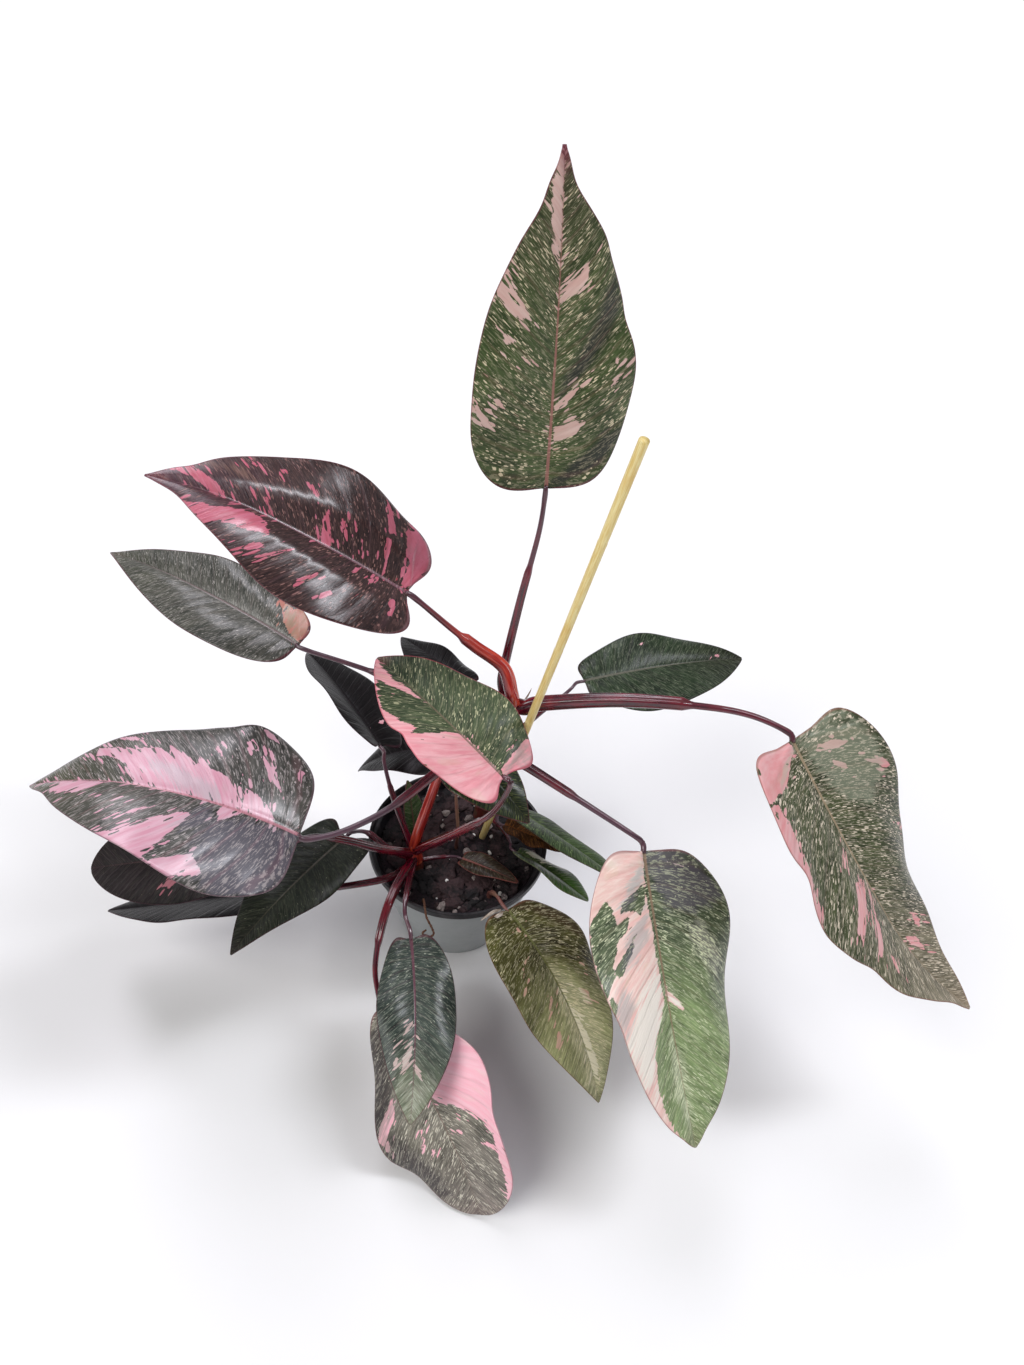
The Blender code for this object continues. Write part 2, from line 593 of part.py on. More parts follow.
def blade_point(leaf, share, across):
    """Point of the blade at a share of its length and -1 to 1 across, from right to left edge."""
    side_index = 0 if across >= 0 else 1
    half = leaf.half[side_index]
    out = abs(across)
    width = outline_width(leaf, share, half) * out
    back = leaf.lobe * (share / LOBE_PLACE) * math.exp(1 - share / LOBE_PLACE)
    rib_reach = leaf.length * share**RIB_LAG
    edge_reach = leaf.length * (share - back)
    reach = rib_reach + (edge_reach - rib_reach) * out**ROW_BEND
    place, side, normal = rib_place(leaf, reach)

    fold = math.radians(leaf.fold[side_index])
    cup = math.radians(leaf.cup[side_index]) * width / half
    wave_angle = 2 * math.pi * (leaf.waves * reach / leaf.length + leaf.phase[side_index])
    wave = leaf.wave * (width / half) ** 2 * math.sin(wave_angle)
    outward = width * math.cos(fold + cup / 2) - wave * math.sin(fold + cup)
    upward = width * math.sin(fold + cup / 2) + wave * math.cos(fold + cup)
    return place + math.copysign(outward, across) * side + upward * normal


def make_blade(name, leaf, collection, material):
    """A grid bent into the blade, triangulated so that Solidify gives both faces the same edges."""
    rows, columns = LARGE_BLADE_GRID if leaf.length >= LARGE_BLADE_LENGTH else SMALL_BLADE_GRID
    mesh = bpy.data.meshes.new(name)
    bm = bmesh.new()
    bmesh.ops.create_grid(bm, x_segments=rows, y_segments=columns, size=1)
    for vert in bm.verts:
        share = ((vert.co.x + 1) / 2) ** ROW_SPREAD
        vert.co = Vector(blade_point(leaf, share, vert.co.y)) * MM
    bmesh.ops.triangulate(bm, faces=bm.faces)
    bm.to_mesh(mesh)
    bm.free()
    obj = link_mesh(mesh, name, collection, material)
    solidify = obj.modifiers.new("Thickness", "SOLIDIFY")
    solidify.thickness = BLADE_THICKNESS
    solidify.offset = 0
    return obj


def petiole_radius(share, petiole):
    """A sheath that narrows to its end, then a stalk that narrows to the blade."""
    if share < SHEATH_SHARE:
        return petiole.girth * petiole.wrap * np.interp(share, (0, SHEATH_SHARE), SHEATH_RADII)
    return petiole.girth * np.interp(share, (SHEATH_SHARE, 1), STALK_RADII)


def make_petiole(petiole, name, collection):
    """A tube along the petiole's route, with a last short knee in line with the blade's midrib."""
    leaf = LEAVES[petiole.leaf]
    along = rib_direction(leaf, 0)
    base = np.array(leaf.base, float)
    places, shares = smooth_route((*petiole.route, base - KNEE * along), PETIOLE_STEP)
    places = [*places, base - BLADE_CLEARANCE * along]
    radii = [petiole_radius(share, petiole) for share in shares]
    return make_tube(name, places, [*radii, radii[-1]], collection)


def make_leafy_stem(name, route, radii, petioles, collection, material):
    """A stem with all its petioles, joined into one solid."""
    places, shares = smooth_route(route, STEM_STEP)
    even = np.linspace(0, 1, len(radii))
    stem = make_tube(name, places, np.interp(shares, even, radii), collection)
    stem.data.materials.append(material)
    branches = new_collection(name + "_petioles")
    for petiole in petioles:
        make_petiole(petiole, "petiole", branches)
    return boolean(stem, "UNION", branches)


def make_single_stalk(name, petiole, collection, material):
    """A leaf stalk that rises from the potting mix by itself."""
    stalk = make_petiole(petiole, name, collection)
    stalk.data.materials.append(material)
    return stalk


def make_aerial_root(collection, material):
    places, shares = smooth_route(AERIAL_ROOT, AERIAL_ROOT_STEP)
    root = make_tube("aerial_root", places, [AERIAL_ROOT_RADIUS] * len(shares), collection)
    root.data.materials.append(material)
    return root


def main():
    clear_scene()
    materials = {name: make_material(name, *look) for name, look in MATERIALS.items()}
    plant = new_collection("pink_princess_philodendron")
    make_cover_pot(plant, materials["cover_pot_plastic"])
    make_nursery_pot(plant, materials["nursery_pot_plastic"])
    make_potting_mix(plant, materials["potting_mix"])
    make_stake(plant, materials["bamboo"])
    make_leafy_stem("stem_main", MAIN_STEM, MAIN_STEM_RADII, MAIN_PETIOLES, plant, materials["petiole"])
    make_leafy_stem("stem_side", SIDE_STEM, SIDE_STEM_RADII, SIDE_PETIOLES, plant, materials["petiole"])
    make_single_stalk("stalk_young", YOUNG_PETIOLE, plant, materials["young_petiole"])
    make_single_stalk("stalk_front", FRONT_PETIOLE, plant, materials["young_petiole"])
    make_aerial_root(plant, materials["root"])
    for name, leaf in LEAVES.items():
        make_blade(name, leaf, plant, materials[LEAF_MATERIALS.get(name, "leaf_variegated")])


main()
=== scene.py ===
"""Looks of the potted pink princess philodendron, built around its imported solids.

The leaves, stalks, pots, potting mix, stake and root are made again as finer pieces that keep the
solids' form, with relief, veins, variegation and gloss. Lengths are in millimetres where nothing else
is said, angles in degrees, and the colours of surfaces are sRGB values from 0 to 255. The object
stands on z = 0 with its front to -Y.
"""
import math
import random
from collections import namedtuple

import bmesh
import bpy
import numpy as np
from mathutils import Matrix, Vector, noise


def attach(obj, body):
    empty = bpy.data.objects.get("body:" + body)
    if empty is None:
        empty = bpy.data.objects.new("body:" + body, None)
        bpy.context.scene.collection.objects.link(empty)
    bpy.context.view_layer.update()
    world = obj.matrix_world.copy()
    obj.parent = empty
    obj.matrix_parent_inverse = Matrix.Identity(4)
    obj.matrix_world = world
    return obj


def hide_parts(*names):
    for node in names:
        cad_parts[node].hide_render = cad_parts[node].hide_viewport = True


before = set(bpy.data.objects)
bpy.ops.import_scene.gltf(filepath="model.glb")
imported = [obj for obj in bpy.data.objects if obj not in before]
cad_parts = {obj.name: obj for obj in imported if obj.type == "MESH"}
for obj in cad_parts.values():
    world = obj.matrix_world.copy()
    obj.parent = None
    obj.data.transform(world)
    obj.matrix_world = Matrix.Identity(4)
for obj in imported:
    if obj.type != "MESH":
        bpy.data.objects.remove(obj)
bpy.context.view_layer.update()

MM = 0.001
TINY = 1e-9

# Pots and potting mix, in mm.
POT_HEIGHT = 82.0
POT_LIP_RADIUS = 60.0
POT_BASE_RADIUS = 38.0
COVER_HEIGHT = 76.0
COVER_WALL = 1.6
FOOT_HOLLOW = 0.6
FOOT_RING_INSETS = (4, 6)
NURSERY_WALL = 1.2
NURSERY_CLEARANCE = 0.6
FLOOR_CLEARANCE = 0.3
LIP_DEPTH = 5.0
LIP_WIDTHS = (2.2, 2.0)
LIP_STEP = 1.6
POT_STEPS = 144
MIX_LEVEL = 71.0
MIX_CLEARANCE = 0.3
BED_THICKNESS = 8
BED_RINGS = 44
BED_SIDES = 120
BED_EDGE_DROP = 1.5
UNDERSIDE = BED_RINGS + 1
GRAIN_CLEARANCE = 4

# Potting mix: height and width of its bumps and crumbs in mm, and the share of grains that are larger
# than the smallest of their kind.
MIX_BUMPS = ((1.3, 11), (0.5, 3))
LARGE_GRAIN_SHARE = 0.6

# Bamboo stake, in mm. Its joints are counted from its lower end, each a ring over a groove, with their
# height and width.
STAKE_RADIUS = 2.4
STAKE_FOOT = np.array([16.0, 12.0, 72.0])
STAKE_LEAN = np.array([0.136, -0.204, 0.97])
STAKE_LENGTH_ABOVE = 372.0
STAKE_BURIED = 20.0
STAKE_JOINTS = (58.0, 150.0, 246.0, 330.0)
JOINT_RING = (0.10, 1.6)
JOINT_GROOVE = (0.12, 0.9)
JOINT_GROOVE_PLACE = 2.6

# Width of stems and cane beside their solids', which leaves room for their rings.
SLIMMER = 0.97

# Stems and single stalks, in mm. Shares have no unit.
MAIN_STEM = (
    (14, 30, 57), (14, 30, 72), (17, 27, 112), (21, 20, 165), (24, 15, 206), (23, 15, 218),
    (21, 16, 230),
)
MAIN_STEM_RADII = (6.5, 6.5, 5.8, 5.2, 5.0, 3.4, 1.0)
SIDE_STEM = ((-27, -18, 57), (-27, -18, 72), (-27, -18, 82), (-27, -18, 89), (-26, -18, 95))
SIDE_STEM_RADII = (6.5, 6.5, 6.2, 4.6, 1.6)
MAIN_BUD_FROM = 0.80
SIDE_BUD_FROM = 0.55
STEM_STEP = 1.5
BUD_SWELL = 0.12
SCAR_SPACING, SCAR_RISE, SCAR_WIDTH = 16, 0.035, 1.1
SHEATH_RADII = (3.3, 2.5)
STALK_RADII = (1.9, 1.5)
SHEATH_SHARE = 0.62
SHEATH_END = 0.03
STALK_STEP = 1.6
STALK_SIDES = 22
# The knee under a blade, and where the stalk ends, along and below the blade's base.
KNEE = 5.0
KNEE_SWELL, KNEE_PLACE, KNEE_WIDTH = 0.14, 6, 4.5
STALK_END, STALK_DROP = 1.2, 0.5
# Cross-section of a sheath: wings and a groove between them, by the angle from its upper side.
WING_RISE, WING_ANGLE, WING_SPREAD = 0.22, 0.72, 0.2
GROOVE_SPREAD, STALK_GROOVE, SHEATH_GROOVE = 0.36, 0.07, 0.24
UPPER_SIDE_LEAN = 0.6
# Colour along a stalk: where it starts to grey before its sheath ends, and over what share of the
# stalk; how strong the glow starts, and over what share it fades; the dark stretch at the knee in mm.
ASH_LEAD, ASH_RAMP = 0.04, 0.1
GLOW_START, GLOW_FADE = 1.15, 0.8
KNEE_SHADE = 12

# Outline of a blade, in mm and in shares of its length.
NOTCH_HALF_WIDTH = 2.4
TIP_HALF_WIDTH = 0.7
LOBE_PLACE = 0.06
NOTCH_SHARE = 0.11
NOTCH_POWER = 12
HOOK_START = 0.6
# Grid of a blade: how its rows and columns crowd and bend, and how many each size of blade has.
ROW_SPREAD = 1.15
COLUMN_SPREAD = 0.9
RIB_LAG = 1.5
ROW_BEND = 1.3
RIB_STATIONS = 400
LARGE_BLADE_GRID = (150, 25)
SMALL_BLADE_GRID = (76, 15)
LARGE_BLADE_LENGTH = 100
# Thickness of a blade in its middle and at its edge, in mm.
BLADE_THICKNESS = 0.75
EDGE_THICKNESS = 0.4
# Relief of a blade, in mm on one of full length: the bulge of each half between midrib and margin, a
# slow swell, the usual ruffle of the margin, the quilting, the midrib's channel and ridge. The waves of
# swell and ruffle turn by so much in each mm.
FULL_RELIEF_LENGTH = 150
BULGE = 1.3
SWELL, SWELL_TURN = 2.2, 0.08
RUFFLE, RUFFLE_TURN = 0.9, 0.2
QUILT = 0.5
CHANNEL_DEPTH, CHANNEL_WIDTH = 0.5, 1.2
RIDGE_HEIGHT, RIDGE_WIDTH = 1.5, 1.3
# Slope of a side vein towards the tip, by the share of the midrib where it starts.
VEIN_PLACES = (-1.2, -0.1, 0.0, 0.06, 0.3, 0.7, 1.0)
VEIN_SLOPES = (-3.0, -1.5, -0.7, 0.05, 0.6, 0.95, 1.1)
VEIN_BEND = 0.005
VEIN_SPACING = 0.062
# Outlines of patches: the longest step along an edge, and the depth in mm that counts as far outside.
OUTLINE_STEP = 0.03
FAR_OUTSIDE = -30.0

# A blade. base, length and half, its widths left and right of the midrib, are in mm. fill, taper and
# lobe form the outline. heading, pitch and roll are the base's angles in degrees; droop, sweep, twist
# and hook are how far they have turned at the tip. fold is how steeply the left and the right half
# rise from the midrib, and cup how far they turn on the way to the margin. wave is the height of the
# margin's waves in mm, waves is how many there are, and phase is where they begin on either side, in
# waves.
Leaf = namedtuple(
    "Leaf",
    "base length half fill taper lobe heading pitch droop sweep roll twist hook fold cup wave waves phase",
)

LEAVES = {
    "leaf_top": Leaf(
        base=(32, 45, 335), length=163, half=(45, 43), fill=0.47, taper=1.06, lobe=0.02,
        heading=100, pitch=81, droop=11, sweep=4, roll=11, twist=5, hook=1,
        fold=(10, 9), cup=(-10, -16), wave=3.7, waves=1.7, phase=(-0.3, 0.5)),
    "leaf_glossy": Leaf(
        base=(-37, 12, 280), length=148, half=(41, 47), fill=0.60, taper=1.17, lobe=0.09,
        heading=181, pitch=34, droop=13, sweep=0, roll=-18, twist=3, hook=15,
        fold=(9, 11), cup=(-19, -12), wave=4.1, waves=1.4, phase=(0.0, 0.7)),
    "leaf_left_back": Leaf(
        base=(-107, 35, 211), length=163, half=(30, 27), fill=0.56, taper=1.05, lobe=0.03,
        heading=152, pitch=7, droop=16, sweep=0, roll=-13, twist=-1, hook=4,
        fold=(10, 10), cup=(-16, -15), wave=2.8, waves=1.4, phase=(-0.2, 0.5)),
    "leaf_centre": Leaf(
        base=(26, -56, 214), length=103, half=(33, 35), fill=0.52, taper=0.87, lobe=0.10,
        heading=148, pitch=25, droop=25, sweep=-11, roll=4, twist=-1, hook=0,
        fold=(12, 14), cup=(-11, -11), wave=3.5, waves=1.5, phase=(-0.3, 0.9)),
    "leaf_left_pink": Leaf(
        base=(-81, -87, 185), length=155, half=(49, 52), fill=0.35, taper=0.93, lobe=0.02,
        heading=178, pitch=30, droop=50, sweep=-2, roll=-6, twist=16, hook=9,
        fold=(7, 8), cup=(-16, -12), wave=4.0, waves=2.1, phase=(0.2, 0.7)),
    "leaf_right": Leaf(
        base=(184, -20, 230), length=193, half=(56, 53), fill=0.40, taper=0.91, lobe=0.06,
        heading=-47, pitch=-38, droop=10, sweep=24, roll=1, twist=-6, hook=-26,
        fold=(10, 10), cup=(-13, -4), wave=8.0, waves=1.1, phase=(0.1, 0.1)),
    "leaf_right_front": Leaf(
        base=(109, -64, 173), length=160, half=(49, 41), fill=0.44, taper=0.72, lobe=0.03,
        heading=-77, pitch=-26, droop=18, sweep=10, roll=-14, twist=-5, hook=-5,
        fold=(9, 11), cup=(-23, -14), wave=6.3, waves=1.4, phase=(0.0, 0.4)),
    "leaf_front_olive": Leaf(
        base=(37, -58, 91), length=130, half=(35, 34), fill=0.56, taper=1.03, lobe=0.04,
        heading=-47, pitch=-2, droop=46, sweep=-15, roll=-14, twist=0, hook=7,
        fold=(7, 9), cup=(-16, -16), wave=3.5, waves=1.8, phase=(-0.1, 0.6)),
    "leaf_front_small": Leaf(
        base=(-20, -84, 89), length=106, half=(24, 21), fill=0.65, taper=0.91, lobe=0.05,
        heading=-76, pitch=-6, droop=16, sweep=-12, roll=-2, twist=0, hook=-1,
        fold=(8, 8), cup=(-17, -18), wave=3.2, waves=1.6, phase=(0.1, 0.6)),
    "leaf_front_low": Leaf(
        base=(-32, -115, 60), length=133, half=(41, 37), fill=0.80, taper=0.60, lobe=0.03,
        heading=-52, pitch=-11, droop=20, sweep=-1, roll=31, twist=12, hook=24,
        fold=(17, 6), cup=(-4, -17), wave=8.5, waves=1.5, phase=(0.2, 0.5)),
    "leaf_back_right": Leaf(
        base=(72, 68, 175), length=122, half=(26, 33), fill=0.59, taper=0.93, lobe=0.04,
        heading=22, pitch=4, droop=17, sweep=4, roll=6, twist=4, hook=0,
        fold=(11, 10), cup=(-15, -15), wave=3.4, waves=1.4, phase=(-0.3, 0.4)),
    "leaf_under_a": Leaf(
        base=(-72, -17, 94), length=107, half=(27, 28), fill=0.50, taper=1.0, lobe=0.10,
        heading=-122, pitch=4, droop=5, sweep=8, roll=5, twist=6, hook=4,
        fold=(14, 10), cup=(-12, -15), wave=2.1, waves=1.5, phase=(0.0, 0.5)),
    "leaf_under_b": Leaf(
        base=(-112, -63, 132), length=118, half=(28, 32), fill=0.60, taper=0.70, lobe=0.08,
        heading=182, pitch=-10, droop=20, sweep=-6, roll=-15, twist=-10, hook=-5,
        fold=(10, 12), cup=(-15, -14), wave=1.6, waves=1.6, phase=(0.0, 0.5)),
    "leaf_under_c": Leaf(
        base=(-104, -57, 83), length=125, half=(28, 29), fill=0.55, taper=0.91, lobe=0.08,
        heading=185, pitch=-11, droop=16, sweep=-7, roll=21, twist=3, hook=-6,
        fold=(13, 10), cup=(-11, -15), wave=1.5, waves=1.3, phase=(-0.2, 0.5)),
    "leaf_behind_left": Leaf(
        base=(-56, 25, 138), length=108, half=(25, 27), fill=0.60, taper=0.90, lobe=0.08,
        heading=127, pitch=6, droop=15, sweep=2, roll=37, twist=-11, hook=2,
        fold=(18, 19), cup=(-10, -8), wave=2.1, waves=1.5, phase=(-0.4, 0.5)),
    "leaf_behind_low": Leaf(
        base=(-14, 44, 120), length=79, half=(21, 20), fill=0.44, taper=1.06, lobe=0.08,
        heading=171, pitch=-11, droop=43, sweep=1, roll=-4, twist=6, hook=5,
        fold=(10, 11), cup=(-13, -14), wave=3.0, waves=1.4, phase=(-0.4, 0.5)),
    "leaf_behind_top": Leaf(
        base=(-2, 15, 213), length=66, half=(17, 12), fill=0.55, taper=0.96, lobe=0.08,
        heading=136, pitch=-1, droop=17, sweep=-3, roll=5, twist=1, hook=-2,
        fold=(10, 9), cup=(-15, -16), wave=1.9, waves=1.4, phase=(0.0, 0.4)),
    "leaf_low_mid": Leaf(
        base=(0, -12, 190), length=61, half=(17, 26), fill=0.44, taper=1.01, lobe=0.08,
        heading=-40, pitch=-14, droop=15, sweep=0, roll=4, twist=-3, hook=1,
        fold=(10, 10), cup=(-15, -14), wave=2.0, waves=1.5, phase=(0.0, 0.5)),
    "leaf_low_right": Leaf(
        base=(40, 11, 103), length=92, half=(20, 23), fill=0.56, taper=0.95, lobe=0.08,
        heading=-41, pitch=12, droop=12, sweep=3, roll=-34, twist=-3, hook=-3,
        fold=(6, 10), cup=(-19, -15), wave=0.9, waves=1.7, phase=(0.1, 0.7)),
    "leaf_low_small": Leaf(
        base=(40, -14, 93), length=56, half=(13, 13), fill=0.63, taper=0.72, lobe=0.06,
        heading=-28, pitch=0, droop=20, sweep=-1, roll=-35, twist=11, hook=-4,
        fold=(10, 14), cup=(-14, -10), wave=1.4, waves=1.3, phase=(0.3, 0.8)),
    "leaf_pot_brown": Leaf(
        base=(4, -14, 79), length=42, half=(9, 7), fill=0.56, taper=0.96, lobe=0.05,
        heading=-22, pitch=9, droop=8, sweep=-3, roll=-6, twist=0, hook=2,
        fold=(10, 11), cup=(-15, -14), wave=0.8, waves=1.3, phase=(-0.1, 0.3)),
    "leaf_pot_young": Leaf(
        base=(-29, -4, 86), length=40, half=(6, 8), fill=0.55, taper=0.95, lobe=0.04,
        heading=114, pitch=67, droop=8, sweep=1, roll=19, twist=3, hook=0,
        fold=(12, 9), cup=(-13, -17), wave=0.8, waves=1.4, phase=(-0.2, 0.5)),
    "leaf_dried": Leaf(
        base=(30, 10, 89), length=47, half=(10, 10), fill=0.60, taper=0.80, lobe=0.02,
        heading=-20, pitch=2, droop=6, sweep=2, roll=-8, twist=14, hook=6,
        fold=(38, 30), cup=(-30, -26), wave=1.4, waves=2.4, phase=(0.1, 0.6)),
}

# A leaf stalk: its route in mm from inside the stem towards the blade, and how thick it is beside the
# usual one. ash is how far the upper stalk has greyed, from 0 for glossy maroon all along to 1; glow is
# how orange-red its sheath is, that orange laid on its upper side only as painted light; wrap is how
# much wider that sheath is than the usual one.
Petiole = namedtuple("Petiole", "leaf route girth ash glow wrap", defaults=(0.0, 1.0))

MAIN_PETIOLES = (
    Petiole("leaf_top", ((24, 15, 198), (19, 18, 213), (20, 22, 229), (25, 34, 266), (31, 44, 305)),
            girth=0.88, ash=0.55),
    Petiole("leaf_glossy", ((24, 15, 192), (28, 7, 205), (25, 6, 219), (19, 11, 233), (2, 13, 245),
            (-12, 14, 256)), girth=1.0, ash=0.4, glow=1.0, wrap=1.3),
    Petiole("leaf_left_back", ((22, 18, 180), (-18, 18, 190), (-55, 25, 203)), girth=0.85, ash=0.7),
    Petiole("leaf_left_pink", ((24, 16, 206), (5, -30, 208), (-13, -44, 197), (-35, -64, 188),
            (-58, -80, 184)), girth=1.0, ash=0.9),
    Petiole("leaf_right", ((24, 15, 201), (34, 4, 209), (44, 1, 217), (87, -7, 234), (131, -13, 242),
            (159, -14, 240)), girth=1.1, ash=0.15, wrap=1.3),
    Petiole("leaf_right_front", ((22, 17, 190), (19, -8, 200), (25, -27, 203), (45, -37, 199),
            (97, -57, 182)), girth=1.0, ash=0.75),
    Petiole("leaf_back_right", ((20, 22, 150), (45, 46, 163), (58, 55, 171), (64, 60, 175)), girth=0.65,
            ash=0.8),
    Petiole("leaf_behind_low", ((16, 28, 100), (2, 38, 114)), girth=0.7, ash=0.8),
    Petiole("leaf_low_right", ((15, 28, 90), (28, 20, 98)), girth=0.7, ash=0.6),
    Petiole("leaf_low_small", ((14, 30, 78), (30, 10, 82), (35, -3, 88)), girth=0.5, ash=0.8),
    Petiole("leaf_dried", ((14, 30, 84), (23, 21, 89)), girth=0.6, ash=1.0),
)
SIDE_PETIOLES = (
    Petiole("leaf_centre", ((-27, -18, 87), (-20, -23, 100), (2, -39, 140), (21, -56, 182)), girth=1.0,
            ash=0.1, glow=0.12),
    Petiole("leaf_behind_top", ((-27, -17, 86), (-25, -17, 105), (-14, -13, 158), (-6, -1, 196)),
            girth=1.1, ash=0.1, glow=0.55),
    Petiole("leaf_behind_left", ((-28, -16, 83), (-44, 2, 116), (-52, 16, 132)), girth=0.75, ash=0.7),
    Petiole("leaf_under_a", ((-28, -19, 81), (-44, -24, 96), (-58, -18, 102)), girth=0.8, ash=0.8),
    Petiole("leaf_under_b", ((-28, -19, 86), (-47, -34, 108), (-67, -45, 128), (-86, -52, 137)),
            girth=0.9, ash=0.5),
    Petiole("leaf_under_c", ((-28, -20, 79), (-40, -41, 88), (-69, -54, 91)), girth=0.8, ash=0.5),
    Petiole("leaf_front_low", ((-27, -20, 83), (-35, -55, 93), (-39, -78, 88), (-40, -97, 73)), girth=1.0,
            ash=0.1),
    Petiole("leaf_front_small", ((-27, -20, 80), (-27, -50, 92), (-26, -69, 94)), girth=0.75, ash=0.6),
    Petiole("leaf_pot_brown", ((-26, -18, 77), (-12, -15, 79)), girth=0.5, ash=0.8),
    Petiole("leaf_pot_young", ((-28, -16, 82), (-29, -8, 84)), girth=0.5, ash=0.8),
)
YOUNG_PETIOLE = Petiole("leaf_low_mid", ((-1, 0, 57), (-1, 0, 74), (0, -10, 105), (-2, -18, 150),
        (-2, -16, 176)), girth=0.4, ash=1.0)
FRONT_PETIOLE = Petiole("leaf_front_olive", ((25, -36, 57), (25, -36, 74), (27, -42, 84), (30, -49, 91)),
        girth=0.6, ash=0.8)

AERIAL_ROOT = ((-18, -44, 66), (-17, -48, 78), (-15, -58, 86), (-13, -64, 83), (-9, -66, 74),
               (-8, -66, 67), (-12, -66, 63), (-15, -66, 67), (-13, -66, 71))
AERIAL_ROOT_RADIUS = 0.7
# Dried remains of old sheaths: what each grew on, its route in mm and its half width.
DRY_SHEATHS = (
    ("stalk_front", ((33, -59, 92), (28, -64, 96), (21, -69, 93)), 1.5),
    ("stalk_front", ((35, -60, 92), (32, -65, 95), (27, -69, 94)), 1.9),
    ("stem_main", ((32, 9, 207), (35, 12, 211), (37, 14, 216)), 0.7),
)

# Looks of a blade.
# deep, mid: its greens, dark and light; tip: the green that takes over past tip_from of the length.
# speck, fleck: colours of the fine and the larger pale marks; specks, flecks: how thickly they lie.
# pink, pink_light: the patches without green; pale: their palest parts; the next colour is painted shade in
# folds and painted sheen on shoulders.
# rib, margin, under: the midrib and side veins, the margin, and the lower side.
# rough: roughness; gloss: strength of the wax coat; haze: how much the finest pale lines veil the green.
# blush: how much of the margin's colour fills the tip; crumble: how far the patches' edges crumble.
Look = namedtuple(
    "Look",
    "deep mid tip tip_from speck specks fleck flecks pink pink_light pale dusk rib margin under "
    "rough gloss haze blush crumble",
)
USUAL_LOOK = Look(
    deep=(40, 50, 38), mid=(70, 84, 62), tip=(84, 92, 66), tip_from=0.75, speck=(158, 158, 132), specks=0.5,
    fleck=(186, 160, 152), flecks=0.4, pink=(219, 140, 152), pink_light=(236, 190, 196),
    pale=(222, 206, 192), dusk=(58, 54, 60), rib=(150, 96, 98), margin=(108, 40, 58), under=(74, 44, 60),
    rough=0.42, gloss=0.12, haze=0.35, blush=0.15, crumble=1.0)
